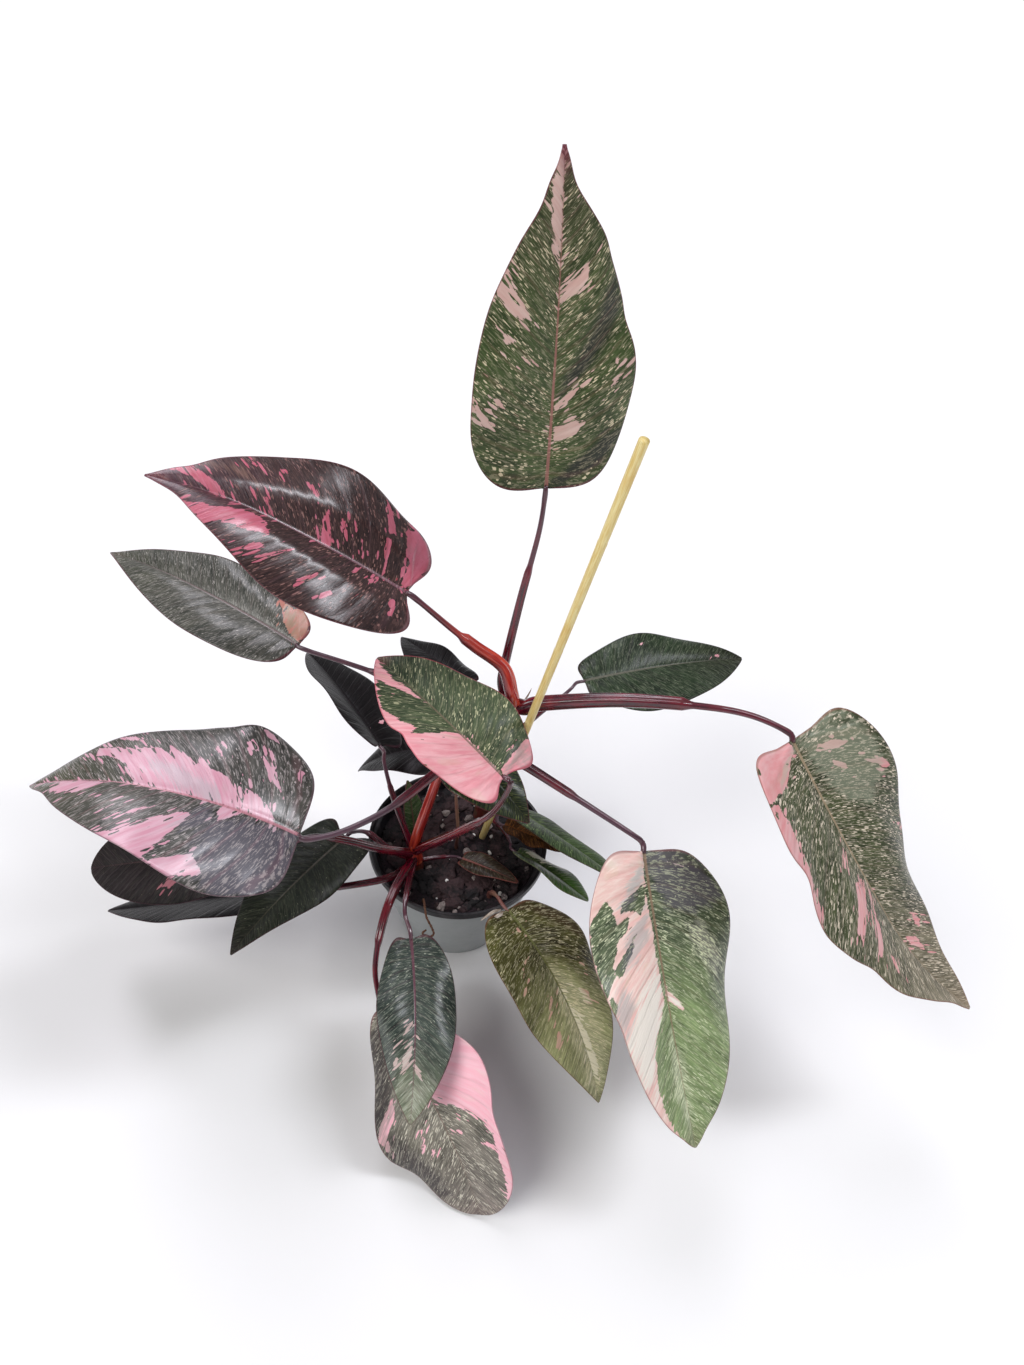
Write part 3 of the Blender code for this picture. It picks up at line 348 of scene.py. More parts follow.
# What is unusual about each leaf. Those that are not named here are dark.
LOOKS = {
    "leaf_top": dict(
        deep=(48, 60, 34), mid=(84, 100, 60), tip=(82, 84, 58), speck=(226, 212, 178), specks=0.75,
        fleck=(202, 158, 146), flecks=0.95, pink=(210, 168, 158), pink_light=(222, 194, 184),
        dusk=(44, 42, 44), rib=(172, 116, 108), margin=(116, 46, 66), haze=0.25, blush=0.85),
    "leaf_glossy": dict(
        deep=(34, 16, 18), mid=(62, 38, 36), tip=(92, 58, 70), speck=(148, 108, 102), specks=0.7,
        fleck=(206, 78, 92), flecks=0.8, pink=(192, 90, 108), pink_light=(206, 116, 138),
        pale=(200, 158, 130), rib=(130, 86, 98), margin=(120, 40, 56), rough=0.3, gloss=0.62, haze=0.2,
        blush=0.6),
    "leaf_left_back": dict(
        deep=(36, 40, 32), mid=(80, 79, 70), tip=(80, 82, 66), speck=(190, 184, 178), specks=0.45,
        fleck=(160, 136, 128), flecks=0.35, pink=(192, 112, 104), pink_light=(170, 134, 112),
        pale=(160, 130, 108), rib=(120, 102, 102), gloss=0.55),
    "leaf_centre": dict(
        deep=(42, 54, 38), mid=(84, 97, 68), tip=(50, 64, 46), speck=(200, 198, 160), specks=0.6,
        fleck=(196, 184, 152), flecks=0.7, pink=(230, 146, 156), pink_light=(243, 188, 192),
        rib=(112, 98, 80), margin=(196, 70, 94), haze=0.25, crumble=0.5),
    "leaf_left_pink": dict(
        deep=(30, 32, 26), mid=(88, 86, 80), tip=(76, 78, 56), speck=(190, 180, 178),
        fleck=(214, 160, 166), flecks=0.8, pink=(208, 142, 162), pink_light=(220, 178, 192),
        pale=(255, 226, 232), dusk=(88, 84, 96), rib=(190, 124, 136), margin=(110, 70, 84), gloss=0.6,
        haze=0.5),
    "leaf_right": dict(
        deep=(40, 47, 30), mid=(84, 92, 62), tip=(142, 134, 112), tip_from=0.7, speck=(232, 218, 196),
        specks=0.75, fleck=(206, 180, 164), flecks=0.55, pink=(216, 140, 142), pink_light=(222, 180, 180),
        pale=(232, 198, 188), dusk=(128, 134, 114), rib=(166, 146, 120), margin=(140, 96, 84), haze=0.42),
    "leaf_right_front": dict(
        deep=(50, 60, 42), mid=(102, 116, 84), tip=(144, 166, 112), tip_from=0.5, speck=(222, 228, 190),
        specks=0.6, fleck=(188, 194, 150), flecks=0.35, pink=(232, 182, 174), pink_light=(245, 224, 213),
        pale=(242, 234, 222), dusk=(92, 86, 96), rib=(142, 116, 94), margin=(140, 84, 88), gloss=0.3,
        haze=0.4, crumble=0.3),
    "leaf_front_olive": dict(
        deep=(42, 37, 18), mid=(92, 92, 46), tip=(186, 190, 134), tip_from=0.5, speck=(232, 224, 182),
        specks=0.45, fleck=(206, 172, 140), flecks=0.7, pink=(210, 158, 142), pink_light=(214, 186, 160),
        pale=(232, 226, 196), dusk=(62, 46, 34), rib=(108, 112, 66), margin=(112, 70, 56)),
    "leaf_front_small": dict(
        deep=(28, 38, 33), mid=(62, 74, 66), tip=(142, 152, 122), tip_from=0.78, speck=(172, 178, 160),
        specks=0.45, fleck=(172, 164, 150), flecks=0.3, pink=(190, 160, 156), pink_light=(200, 180, 172),
        pale=(200, 190, 180), rib=(104, 56, 72), margin=(94, 46, 58), gloss=0.3, haze=0.3),
    "leaf_front_low": dict(
        deep=(80, 78, 70), mid=(142, 138, 124), tip=(156, 146, 138), speck=(232, 226, 208), specks=0.8,
        fleck=(190, 178, 162), flecks=0.6, pink=(250, 180, 194), pink_light=(252, 202, 212),
        dusk=(50, 43, 50), rib=(132, 112, 102), margin=(130, 84, 90), haze=0.3, crumble=0.7),
    "leaf_back_right": dict(
        deep=(16, 26, 14), mid=(50, 66, 44), tip=(30, 36, 18), speck=(140, 148, 124), specks=0.35,
        fleck=(140, 144, 118), flecks=0.35, rib=(106, 104, 92), margin=(50, 20, 26), rough=0.34, haze=0.3,
        crumble=0.3),
    "leaf_low_mid": dict(
        deep=(14, 26, 12), mid=(40, 58, 30), tip=(36, 50, 24), speck=(124, 134, 76), specks=0.6,
        rib=(62, 68, 42), gloss=0.3),
    "leaf_low_right": dict(
        deep=(20, 28, 14), mid=(46, 62, 38), tip=(58, 78, 44), tip_from=0.5, speck=(124, 146, 90),
        flecks=0.2, rib=(92, 108, 64), margin=(74, 56, 50), rough=0.5, gloss=0.05),
    "leaf_low_small": dict(
        deep=(32, 46, 24), mid=(66, 100, 44), tip=(84, 128, 54), tip_from=0.6, specks=0.15, flecks=0.1,
        pink=(196, 190, 168), pink_light=(206, 206, 182), pale=(206, 206, 182), rib=(104, 124, 74),
        margin=(112, 112, 84), rough=0.34, gloss=0.3),
    "leaf_pot_brown": dict(
        deep=(26, 18, 12), mid=(58, 44, 28), tip=(60, 42, 28), specks=0.3, flecks=0.2, rib=(134, 78, 70),
        margin=(140, 76, 70), gloss=0.1, haze=0.15),
    "leaf_pot_young": dict(
        deep=(32, 50, 26), mid=(62, 90, 44), tip=(76, 98, 50), specks=0.2, flecks=0.2, rib=(104, 74, 64)),
    "leaf_dried": dict(
        deep=(46, 22, 10), mid=(88, 58, 36), tip=(66, 38, 20), speck=(172, 116, 58), specks=0.3,
        fleck=(150, 94, 54), flecks=0.2, rib=(120, 74, 38), margin=(66, 34, 18), under=(92, 56, 30),
        rough=0.7, gloss=0.0),
    "leaf_under_a": dict(
        deep=(22, 28, 20), mid=(50, 58, 44), tip=(40, 42, 36), speck=(130, 134, 112), specks=0.35,
        fleck=(150, 148, 124), flecks=0.55, rib=(96, 92, 78), margin=(60, 30, 38), haze=0.15),
    "leaf_under_b": dict(
        deep=(14, 12, 12), mid=(38, 28, 32), tip=(42, 34, 36), specks=0.15, flecks=0.2,
        pink=(150, 84, 96), pink_light=(170, 112, 120), rib=(80, 58, 60), margin=(60, 26, 36), rough=0.34,
        gloss=0.05, haze=0.05),
}
DARK_LOOK = dict(
    deep=(7, 5, 7), mid=(24, 18, 20), tip=(20, 15, 18), speck=(84, 84, 76), specks=0.15,
    fleck=(126, 122, 106), flecks=0.35, rib=(44, 38, 40), margin=(58, 28, 38), rough=0.34, gloss=0.05,
    haze=0.06, crumble=0.3)

# Outlines drawn on the upper side, as (percent of the length, place across): 100 across is the
# left edge, -100 the right edge and 0 the midrib. First the patches without green.
PINK = {
    "leaf_top": (
        ((80, 0), (83, 38), (90, 66), (97, 90), (100, 90), (100, 0)),
        ((78, 8), (79, 33), (81, 38), (81.5, 20), (80, 4)),
        ((61, 100), (61, 62), (62.5, 46), (65, 70), (66, 85), (69, 100)),
        ((27, 85), (27, 70), (30, 85), (33.5, 100), (30, 95)),
        ((34.5, 70), (35.5, 60), (37.5, 72), (36, 77)), ((52, 77), (53, 68), (55, 62), (54.5, 78)),
        ((51, 40), (52, 38), (53.5, 56), (52, 55)),
        ((69, 0), (70, -20), (71.5, -50), (74.5, -60), (75, -50), (73.5, -20), (73, 0)),
        ((28.5, -5), (29, -30), (32, -40), (34.5, -30), (35, -5)),
        ((40, -3), (42, -20), (44.5, -34), (45, -20), (42, -3)),
        ((38.5, -70), (39, -80), (41, -90), (41, -72)), ((43, -72), (44.5, -82), (46, -80)),
    ),
    "leaf_glossy": (
        ((64, 40), (66, 30), (69, 17), (75, 17), (76, 30), (80, 55), (86, 90), (90, 100), (76, 100),
         (75, 75), (70, 60), (66, 50)),
        ((80, 8), (82, -30), (85, -60), (88, -100), (94, -100), (90, -50), (86, -10), (83, 8)),
        ((-10, -10), (4, -8), (11, -10), (14, -45), (15.5, -80), (15, -110), (-10, -110)),
        ((47, 0), (52, 0), (52, -12), (50.5, -40), (49, -40), (48.5, -15), (47, -10)),
        ((52, -42), (53.5, -65), (55, -65), (53, -42)),
        ((23, -2), (23, -30), (22.5, -45), (24.5, -45), (25, -30), (24, -5)),
        ((25, 10), (26, 25), (29, 20), (27, 10)), ((34, 10), (35, 25), (36, 10)),
        ((33, 65), (34, 77), (36, 72), (35, 63)), ((43, 55), (44, 75), (46, 70), (44, 60)),
        ((10, 45), (10, 65), (12, 50)), ((55, 40), (57, 65), (59, 78), (57.5, 60)),
        ((60, 60), (62, 80), (64, 85), (63, 60)), ((20, -60), (21, -90), (23, -97), (24, -75), (23, -55)),
        ((35, -10), (35.5, -28), (36.5, -25), (36, -8)), ((67, -5), (69, -30), (70.5, -30), (68, -5)),
        ((43, -25), (43, -35), (45, -38), (45, -30)), ((69, -80), (70, -95), (71, -85)),
        ((60, -75), (62, -80), (63, -75)),
    ),
    "leaf_left_back": (
        ((-10, -30), (5, -15), (14, -12), (20, -30), (22, -55), (23.5, -70), (21, -75), (15, -80),
         (10, -110), (-10, -110)),
    ),
    "leaf_centre": (
        ((-10, 90), (-10, 10), (10, 2), (20, -2), (40, -3), (47, 0), (49, 8), (50, 30), (48.5, 50),
         (49, 80), (50.5, 83), (53, 66), (56, 64), (60, 80), (65, 88), (70, 97), (80, 96), (85, 90),
         (86, 110), (-10, 110)),
        ((73, 7), (78, 35), (82, 60), (85, 80), (86, 110), (100, 110), (100, 50), (92, 45), (85, 30),
         (78, 10)),
        ((-10, -5), (5, -8), (12, -10), (13.5, -30), (14, -60), (13.5, -90), (10, -110), (-10, -110)),
        ((16, -50), (18.5, -25), (19, -35), (17, -52)),
    ),
    "leaf_left_pink": (
        ((20, 0), (26, -15), (32, -25), (35, -25), (36, -2), (38, -15), (42, -35), (47, -42), (50, -55),
         (51, -40), (54, -60), (58, -72), (59, -55), (62, -70), (68, -68), (72, -72), (76, -85),
         (79, -90), (80, -70), (75, -55), (72, -35), (70, 0)),
        ((40, 98), (46, 98), (47, 80), (48, 55), (49, 25), (52, 30), (53, 40), (56, 45), (58, 70),
         (59, 85), (62, 95), (68, 110), (50, 110)),
        ((29, 83), (34, 93), (40, 110), (44, 95), (40, 75), (37, 68), (34, 72)),
        ((78, 5), (79, 30), (81, 55), (86, 68), (89, 60), (88, 35), (92, 20), (100, 15), (100, 2)),
        ((35, 2), (40, 20), (42, 15), (44, 2)), ((60, 40), (61, 55), (63, 65), (62.5, 50)),
        ((67, 45), (68, 70), (69, 60)), ((72, 35), (74, 55), (75, 50)),
        ((20, -35), (24, -45), (28, -65), (26.5, -68), (23, -55)),
        ((22, -60), (22.5, -75), (25, -80), (24, -55)), ((10, -70), (11, -80), (12.5, -68), (11.5, -60)),
        ((41, -55), (43, -70), (44, -68), (42, -55)), ((19, -90), (22, -97), (26, -97), (24, -90)),
        ((28, -72), (30, -80), (33, -78), (31, -70)), ((5, -70), (6, -90), (9, -80)),
        ((63, -85), (68, -95), (72, -97), (69, -88)),
    ),
    "leaf_right": (
        ((-10, -15), (3, -10), (10, -15), (14, -30), (16, -50), (14, -80), (12, -110), (-10, -110)),
        ((13, -110), (15, -84), (20, -78), (26, -80), (33, -86), (41, -93), (46, -110)),
        ((54, -30), (55, -60), (56.5, -78), (59, -78), (59.5, -40), (60, -15), (58.5, -10), (57, -25)),
        ((63.5, -35), (65, -55), (66, -75), (68, -78), (68.5, -60), (67, -40), (65, -30)),
        ((62, -10), (63, -30), (64, -20), (63, -10)), ((47, -20), (47.5, -38), (49, -35), (49, -20)),
        ((72, -60), (74, -75), (75.5, -80), (74.5, -60)),
        ((12, 25), (13, 50), (15, 60), (16.5, 50), (15.5, 30), (14, 22)),
        ((22.5, 65), (23.5, 85), (26, 92), (26.5, 85), (24.5, 70)),
        ((20.5, 30), (23, 42), (25, 42), (23, 28)),
        ((78.5, 10), (80, 35), (83, 42), (84, 35), (82, 20), (80, 5)),
        ((74, 55), (76, 70), (77.5, 60), (77, 50)), ((46, 93), (47, 100), (50, 100), (48, 90)),
    ),
    "leaf_right_front": (
        ((-10, -3), (30, -8), (50, -9), (64, -10), (67, -25), (69, -40), (72, -55), (78, -70), (86, -82),
         (97, -92), (97, -110), (-10, -110)),
        ((60, 0), (62, 8), (65.5, 20), (66, 18), (64, 0)), ((10, 42), (11.5, 65), (12.5, 55), (11.5, 40)),
    ),
    "leaf_front_low": (
        ((12, 110), (13, 50), (25, 25), (40, 10), (58, 0), (61, 10), (62, 35), (64, 55), (66, 75),
         (69, 95), (71, 110)),
        ((72, 75), (73, 90), (74.5, 80), (74, 55)), ((70.5, 20), (71.5, 38), (72.5, 20)),
        ((66, 110), (68, 86), (78, 84), (88, 88), (95, 110)),
        ((64, -35), (66, -40), (70, -55), (71, -50), (68, -38)), ((72, -35), (75, -45), (74, -33)),
        ((44, -55), (50, -60), (54, -85), (60, -90), (50, -100), (46, -90)),
    ),
    "leaf_front_olive": (
        ((58, 40), (59, 55), (61, 55), (60, 40)), ((44, 70), (47, 75), (48, 70)),
        ((37, -55), (41, -70), (40, -60), (38, -50)), ((54, -25), (58, -50), (60, -55), (57, -35)),
        ((67, -60), (69, -80), (71, -78), (69, -60)), ((20, -10), (23, -17), (25, -10)),
        ((60, 0), (68, 12), (78, 22), (88, 45), (92, 40), (90, 0)),
    ),
    "leaf_front_small": (
        ((70, -8), (72, -30), (75, -50), (79, -55), (78.5, -30), (76, -12)),
        ((61, -10), (62.5, -30), (64.5, -38), (64, -20), (63, -8)),
        ((72, -65), (74, -75), (75.5, -70), (74, -62)), ((80, 5), (82, 30), (83, 35), (82.5, 10)),
    ),
    "leaf_back_right": (
        ((44, 68), (45, 75), (47, 72), (46, 66)), ((86, 20), (86.5, 40), (88, 45), (88.5, 25)),
    ),
    "leaf_low_small": (
        ((15, 110), (17, 30), (30, 20), (43, 30), (46, 60), (55, 80), (62, 110)),
    ),
    "leaf_behind_left": (
        ((25, -45), (29, -25), (30, -40), (29, -60)),
    ),
    "leaf_under_b": (
        ((50, 50), (53, 65), (60, 70), (57, 50)), ((30, -20), (33, -45), (36, -40), (34, -20)),
    ),
}
# Green islands within them.
GREEN_ISLANDS = {
    "leaf_right_front": (
        ((23, -10), (30, -12), (34, -25), (31, -30), (30, -40), (28, -55), (26, -50), (24, -30)),
        ((20, -75), (27, -65), (31, -62), (31, -42), (35, -45), (36, -60), (40, -75), (44, -80),
         (46, -100), (24, -100), (22, -90)),
        ((38, -35), (41, -42), (44, -55), (45.5, -70), (44, -80), (42, -72), (40, -50)),
        ((47, -95), (50, -90), (52, -100)),
    ),
}
# The palest parts, of patches and of green. On the green of leaf_right_front one is a painted sheen.
PALE = {
    "leaf_glossy": (
        ((70, -45), (73, -75), (78, -85), (84, -95), (80, -70), (74, -50)),
    ),
    "leaf_left_back": (
        ((12, -30), (16, -20), (22, -50), (20, -75), (13, -80)),
    ),
    "leaf_right": (
        ((3, 20), (8, 20), (12, 50), (8, 70), (3, 50)),
    ),
    "leaf_right_front": (
        ((13, -12), (20, -12), (25, -35), (28, -60), (22, -45), (16, -35)),
        ((52, -10), (66, -10), (72, -55), (80, -80), (75, -100), (60, -100), (55, -60)),
        # Painted sheen: the patch from 33 to 52 percent of the length, on the green left half.
        ((60, 5), (64, 10), (66, 20), (63, 15)), ((33, 50), (38, 35), (48, 45), (52, 80), (42, 90)),
        ((70, -5), (80, 10), (96, 10), (96, -30), (85, -40)),
    ),
    "leaf_front_olive": (
        ((45, 0), (60, 50), (75, 80), (92, 90), (100, 50), (100, -50), (93, -90), (85, -60), (70, -30)),
    ),
    "leaf_low_small": PINK["leaf_low_small"],
    "leaf_front_small": (
        PINK["leaf_front_small"][0],
        ((80, -90), (86, 0), (80, 90), (100, 90), (100, -90)),
    ),
}
# Areas of painted shade in folds and painted sheen on shoulders.
PAINTED_SHADE_SHEEN = {
    "leaf_top": (
        ((45, -10), (50, -15), (56, -45), (65, -80), (66, -95), (60, -95), (53, -75), (48, -40)),
        ((0, -5), (6, -10), (16, -28), (23, -70), (19, -95), (8, -85), (0, -50)),
    ),
    "leaf_right_front": (
        ((0, 0), (12, 0), (22, 3), (33, 20), (32, 45), (20, 90), (0, 100)),
        ((14, -12), (22, -14), (27, -35), (30, -62), (24, -50), (18, -35)),
        ((34, -15), (42, -20), (46, -45), (44, -62), (38, -50), (35, -30)),
        ((48, -75), (56, -70), (58, -90), (52, -100)),
    ),
    "leaf_left_pink": (
        ((0, 0), (16, 5), (34, 10), (42, 30), (40, 60), (34, 80), (20, 100), (0, 100)),
        ((44, -10), (52, -25), (62, -45), (66, -35), (58, -10), (50, 0)),
        ((40, 25), (48, 10), (50, 45), (46, 50)),
    ),
    "leaf_right": (
        ((3, -15), (9, -18), (14, -40), (15, -62), (11, -50)),
        ((0, 10), (10, 8), (24, 10), (36, 25), (38, 50), (30, 75), (18, 90), (0, 90)),
    ),
    "leaf_centre": (
        ((0, -10), (10, -12), (15, -50), (13, -100), (0, -100)),
    ),
    "leaf_front_low": (
        ((50, -100), (56, -70), (72, -60), (90, -60), (90, -100)),
        ((12, -40), (30, -45), (46, -60), (52, -110), (10, -110)),
    ),
    "leaf_front_olive": (
        ((0, 30), (12, 40), (28, 75), (33, 100), (0, 100)),
    ),
}

# Local bends of a blade: (share, across, spread in share, spread across, height in mm).
DENTS = {
    "leaf_top": (
        (0.53, -0.75, 0.05, 0.3, -5.5), (0.47, -0.4, 0.05, 0.25, -3.0), (0.68, -0.7, 0.06, 0.4, 3.0),
    ),
    "leaf_glossy": ((0.45, 0.35, 0.3, 0.16, 1.4), (0.4, -0.45, 0.3, 0.16, 1.4)),
}
# Small bulges and bays of the outline: (side, share, spread in share, mm more or less).
EDGES = {
    "leaf_top": ((1, 0.84, 0.07, -3.0), (1, 0.95, 0.04, -1.5), (-1, 0.76, 0.05, 2.0), (-1, 0.90, 0.06, -3.0)),
    "leaf_glossy": ((-1, 0.10, 0.05, 3.5), (-1, 0.86, 0.05, -2.0), (1, 0.88, 0.06, -2.0)),
    "leaf_right": (
        (-1, 0.30, 0.05, -5.0), (-1, 0.47, 0.07, 2.0), (-1, 0.64, 0.05, -3.0), (-1, 0.76, 0.06, 2.5),
        (1, 0.85, 0.08, -2.5), (-1, 0.93, 0.05, -2.5),
    ),
    "leaf_left_pink": ((-1, 0.35, 0.05, -2.0), (1, 0.90, 0.06, -2.5), (-1, 0.93, 0.05, -2.0)),
    "leaf_centre": ((1, 0.50, 0.05, -2.5), (1, 0.33, 0.07, 2.5)),
    "leaf_right_front": ((-1, 0.55, 0.06, -1.5), (-1, 0.96, 0.04, -1.5), (1, 0.96, 0.04, -2.5)),
    "leaf_front_low": ((1, 0.62, 0.05, -2.0),),
}
# Ruffles of the margin that are stronger than usual.
RUFFLES = {"leaf_centre": 1.8, "leaf_right": 1.2, "leaf_dried": 2.0, "leaf_front_low": 1.0}

# The middle surface of a blade and what its material reads; and the same as nodes, with depths in
# patches and distances from the margin and the midrib in mm.
Sheet = namedtuple("Sheet", "place facing share across width vein marks")
Marks = namedtuple("Marks", "place pink pale dusk share margin rib")


def srgb(color):
    """Linear colour with alpha from sRGB values of 0 to 255."""
    scaled = [value / 255 for value in color]
    linear = [value / 12.92 if value <= 0.04045 else ((value + 0.055) / 1.055) ** 2.4 for value in scaled]
    return (*linear, 1.0)


def blend(first, second, share):
    """A colour between two, with this share of the second."""
    return tuple((1 - share) * a + share * b for a, b in zip(first, second))


def dimmed(color, share):
    """A colour with all its values scaled down to this share."""
    return tuple(share * value for value in color)


class Tree:
    """One material's nodes, with short calls for adding them."""

    def __init__(self, name):
        self.material = bpy.data.materials.new(name)
        self.material.use_nodes = True
        self.nodes = self.material.node_tree.nodes
        self.links = self.material.node_tree.links
        self.shader = self.nodes["Principled BSDF"]

    def put(self, socket, value):
        if isinstance(value, bpy.types.NodeSocket):
            self.links.new(value, socket)
        else:
            socket.default_value = value

    def add(self, kind, inputs, output=0, **settings):
        node = self.nodes.new(kind)
        for key, value in settings.items():
            setattr(node, key, value)
        for socket, value in inputs.items():
            self.put(node.inputs[socket], value)
        return node.outputs[output]

    def attribute(self, name):
        """The three numbers that each vertex holds under a name."""
        return self.split(self.add("ShaderNodeAttribute", {}, 1, attribute_name=name))

    def split(self, vector):
        node = self.nodes.new("ShaderNodeSeparateXYZ")
        self.links.new(vector, node.inputs[0])
        return node.outputs[0], node.outputs[1], node.outputs[2]

    def join(self, x, y, z):
        return self.add("ShaderNodeCombineXYZ", {0: x, 1: y, 2: z})

    def drawn_out(self, place, along=1.0, across=1.0):
        """A place as a vector. A factor below 1 draws a pattern out that way."""
        return self.join(self.times(place[0], along), self.times(place[1], across), place[2])

    def position(self):
        """The place on the object in metres."""
        return self.add("ShaderNodeTexCoord", {}, 3)

    def math(self, operation, first, second=0.0):
        return self.add("ShaderNodeMath", {0: first, 1: second}, operation=operation)

    def times(self, value, factor, plus=0.0, clamp=False):
        """value * factor + plus."""
        inputs = {0: value, 1: factor, 2: plus}
        return self.add("ShaderNodeMath", inputs, operation="MULTIPLY_ADD", use_clamp=clamp)

    def stirred(self, value, noise, reach):
        """A value moved up or down by a noise around 0.5, by half of reach at most."""
        return self.times(self.math("SUBTRACT", noise, 0.5), reach, value)

    def step(self, value, low, high, bottom=0.0, top=1.0):
        """A smooth rise from bottom to top as value goes from low to high."""
        inputs = {0: value, 1: low, 2: high, 3: bottom, 4: top}
        return self.add("ShaderNodeMapRange", inputs, interpolation_type="SMOOTHSTEP")

    def mix(self, factor, first, second):
        """Between two colours, each a socket or sRGB values."""
        first, second = (srgb(color) if isinstance(color, tuple) else color for color in (first, second))
        return self.add("ShaderNodeMix", {0: factor, 6: first, 7: second}, 2, data_type="RGBA")

    def noise(self, vector, scale, detail=2.0, roughness=0.5):
        """scale counts waves in a mm of a vertex's own place, or in a metre of position()."""
        inputs = {"Vector": vector, "Scale": scale, "Detail": detail, "Roughness": roughness}
        return self.add("ShaderNodeTexNoise", inputs)

    def bump(self, height, distance, strength=1.0):
        """distance, in metres, is how far up a height of 1 lies."""
        inputs = {"Height": height, "Distance": distance, "Strength": strength}
        return self.add("ShaderNodeBump", inputs)

    def finish(self, color, roughness, normal=None, coat=0.0, coat_roughness=0.03, specular=0.5):
        sockets = {"Base Color": color, "Roughness": roughness, "Coat Weight": coat,
                   "Coat Roughness": coat_roughness, "Specular IOR Level": specular}
        if normal:
            sockets["Normal"] = normal
        for name, value in sockets.items():
            self.put(self.shader.inputs[name], value)
        return self.material


# Blade form


def unit(vectors):
    """Vectors scaled to a length of 1."""
    return vectors / np.maximum(np.linalg.norm(vectors, axis=-1, keepdims=True), TINY)


def bell(away, spread):
    """1 where away is 0, falling smoothly towards 0 over the spread."""
    return np.exp(-((away / spread) ** 2))


def of_side(pair, across):
    """The left or the right one of a pair, for each place across a blade."""
    return np.where(across >= 0, pair[0], pair[1])


def rib_stations(leaf):
    """Even shares along the midrib, with the place, direction, side and normal at each, in mm."""
    shares = np.linspace(0, 1, RIB_STATIONS + 1)
    hooked = leaf.hook * np.clip(shares - HOOK_START, 0, 1) / (1 - HOOK_START)
    rise = np.radians(leaf.pitch - leaf.droop * shares - hooked)
    turn = np.radians(leaf.heading + leaf.sweep * shares)
    along = np.stack([np.cos(rise) * np.cos(turn), np.cos(rise) * np.sin(turn), np.sin(rise)], -1)
    steps = (along[1:] + along[:-1]) / 2 * leaf.length / RIB_STATIONS
    places = np.array(leaf.base, float) + np.vstack([np.zeros(3), np.cumsum(steps, 0)])
    level = np.stack([-np.sin(turn), np.cos(turn), np.zeros_like(turn)], -1)
    raised = np.cross(along, level)
    roll = np.radians(leaf.roll + leaf.twist * shares)[:, None]
    sides = np.cos(roll) * level + np.sin(roll) * raised
    normals = -np.sin(roll) * level + np.cos(roll) * raised
    return shares, places, along, sides, normals


def on_midrib(leaf, reach):
    """Place, side and normal of the midrib at distances along it, straight on behind its base."""
    stations, places, along, sides, normals = rib_stations(leaf)
    share = np.clip(reach / leaf.length, 0, 1)

    def at_reach(values):
        return np.stack([np.interp(share, stations, values[:, axis]) for axis in range(3)], -1)

    place = at_reach(places) + np.minimum(reach, 0)[..., None] * at_reach(along)
    return place, at_reach(sides), at_reach(normals)


def outline_width(leaf, share, half):
    """Half width of the blade at a share of its length: nearly heart-shaped, tapering to a tip."""
    peak = leaf.fill / (leaf.fill + leaf.taper)
    full = share**leaf.fill * (1 - share) ** leaf.taper / (peak**leaf.fill * (1 - peak) ** leaf.taper)
    return NOTCH_HALF_WIDTH * (1 - share) ** 2 + TIP_HALF_WIDTH * share**2 + half * full


def row_ends(leaf, share):
    """How far along the midrib a row starts, and how far along it reaches the edge, in mm."""
    back = leaf.lobe * (share / LOBE_PLACE) * np.exp(1 - share / LOBE_PLACE)
    return leaf.length * share**RIB_LAG, leaf.length * (share - back)


def blade_reach(leaf, share, out, width, half):
    """Distance along the midrib of each grid place. Rows near the notch fan out from it."""
    start, end = row_ends(leaf, share)
    reach = start + (end - start) * out**ROW_BEND
    last = np.full_like(share, NOTCH_SHARE)
    last_start, last_end = row_ends(leaf, last)
    last_row = last_start + (last_end - last_start) * out**ROW_BEND
    opening = (width - NOTCH_HALF_WIDTH) / (outline_width(leaf, last, half) - NOTCH_HALF_WIDTH)
    fanned = opening * last_row + (end - opening * last_end) * out**NOTCH_POWER
    return np.where(share < NOTCH_SHARE, fanned, reach)


def vein_start(leaf, reach, width):
    """Where on the midrib, in mm, the side vein through each place starts, found by halving.

    A vein that starts at q runs through reach = q + slope(q) * width + bend * width**2: backwards into
    the lobes at the base, and ever more towards the tip farther on.
    """
    farthest, halvings = 1.2, 26
    low = np.full_like(reach, -farthest * leaf.length)
    high = np.full_like(reach, farthest * leaf.length)
    for _ in range(halvings):
        start = (low + high) / 2
        slope = np.interp(start / leaf.length, VEIN_PLACES, VEIN_SLOPES)
        over = start + slope * width + VEIN_BEND * width**2 > reach
        high = np.where(over, start, high)
        low = np.where(over, low, start)
    return start


def gentle_waves(rng, first, second, count=4):
    """A sum of a few slow waves over two coordinates, from -1 to 1."""
    total = np.zeros_like(first)
    for _ in range(count):
        turns_first, turns_second = rng.uniform(-1, 1), rng.uniform(-1, 1)
        total += np.sin(first * turns_first + second * turns_second + rng.uniform(0, 6.3))
    return total / count


def polygon_depth(x, y, corners):
    """Distance in mm inside a polygon, negative outside it."""
    inside = np.zeros(x.shape, bool)
    nearest = np.full(x.shape, np.inf)
    for (x0, y0), (x1, y1) in zip(corners, [*corners[1:], corners[0]]):
        dx, dy = x1 - x0, y1 - y0
        share = np.clip(((x - x0) * dx + (y - y0) * dy) / max(dx * dx + dy * dy, TINY), 0, 1)
        nearest = np.minimum(nearest, np.hypot(x - x0 - share * dx, y - y0 - share * dy))
        crosses = (y0 > y) != (y1 > y)
        inside ^= crosses & (x < x0 + dx * (y - y0) / (dy if dy else TINY))
    return np.where(inside, nearest, -nearest)


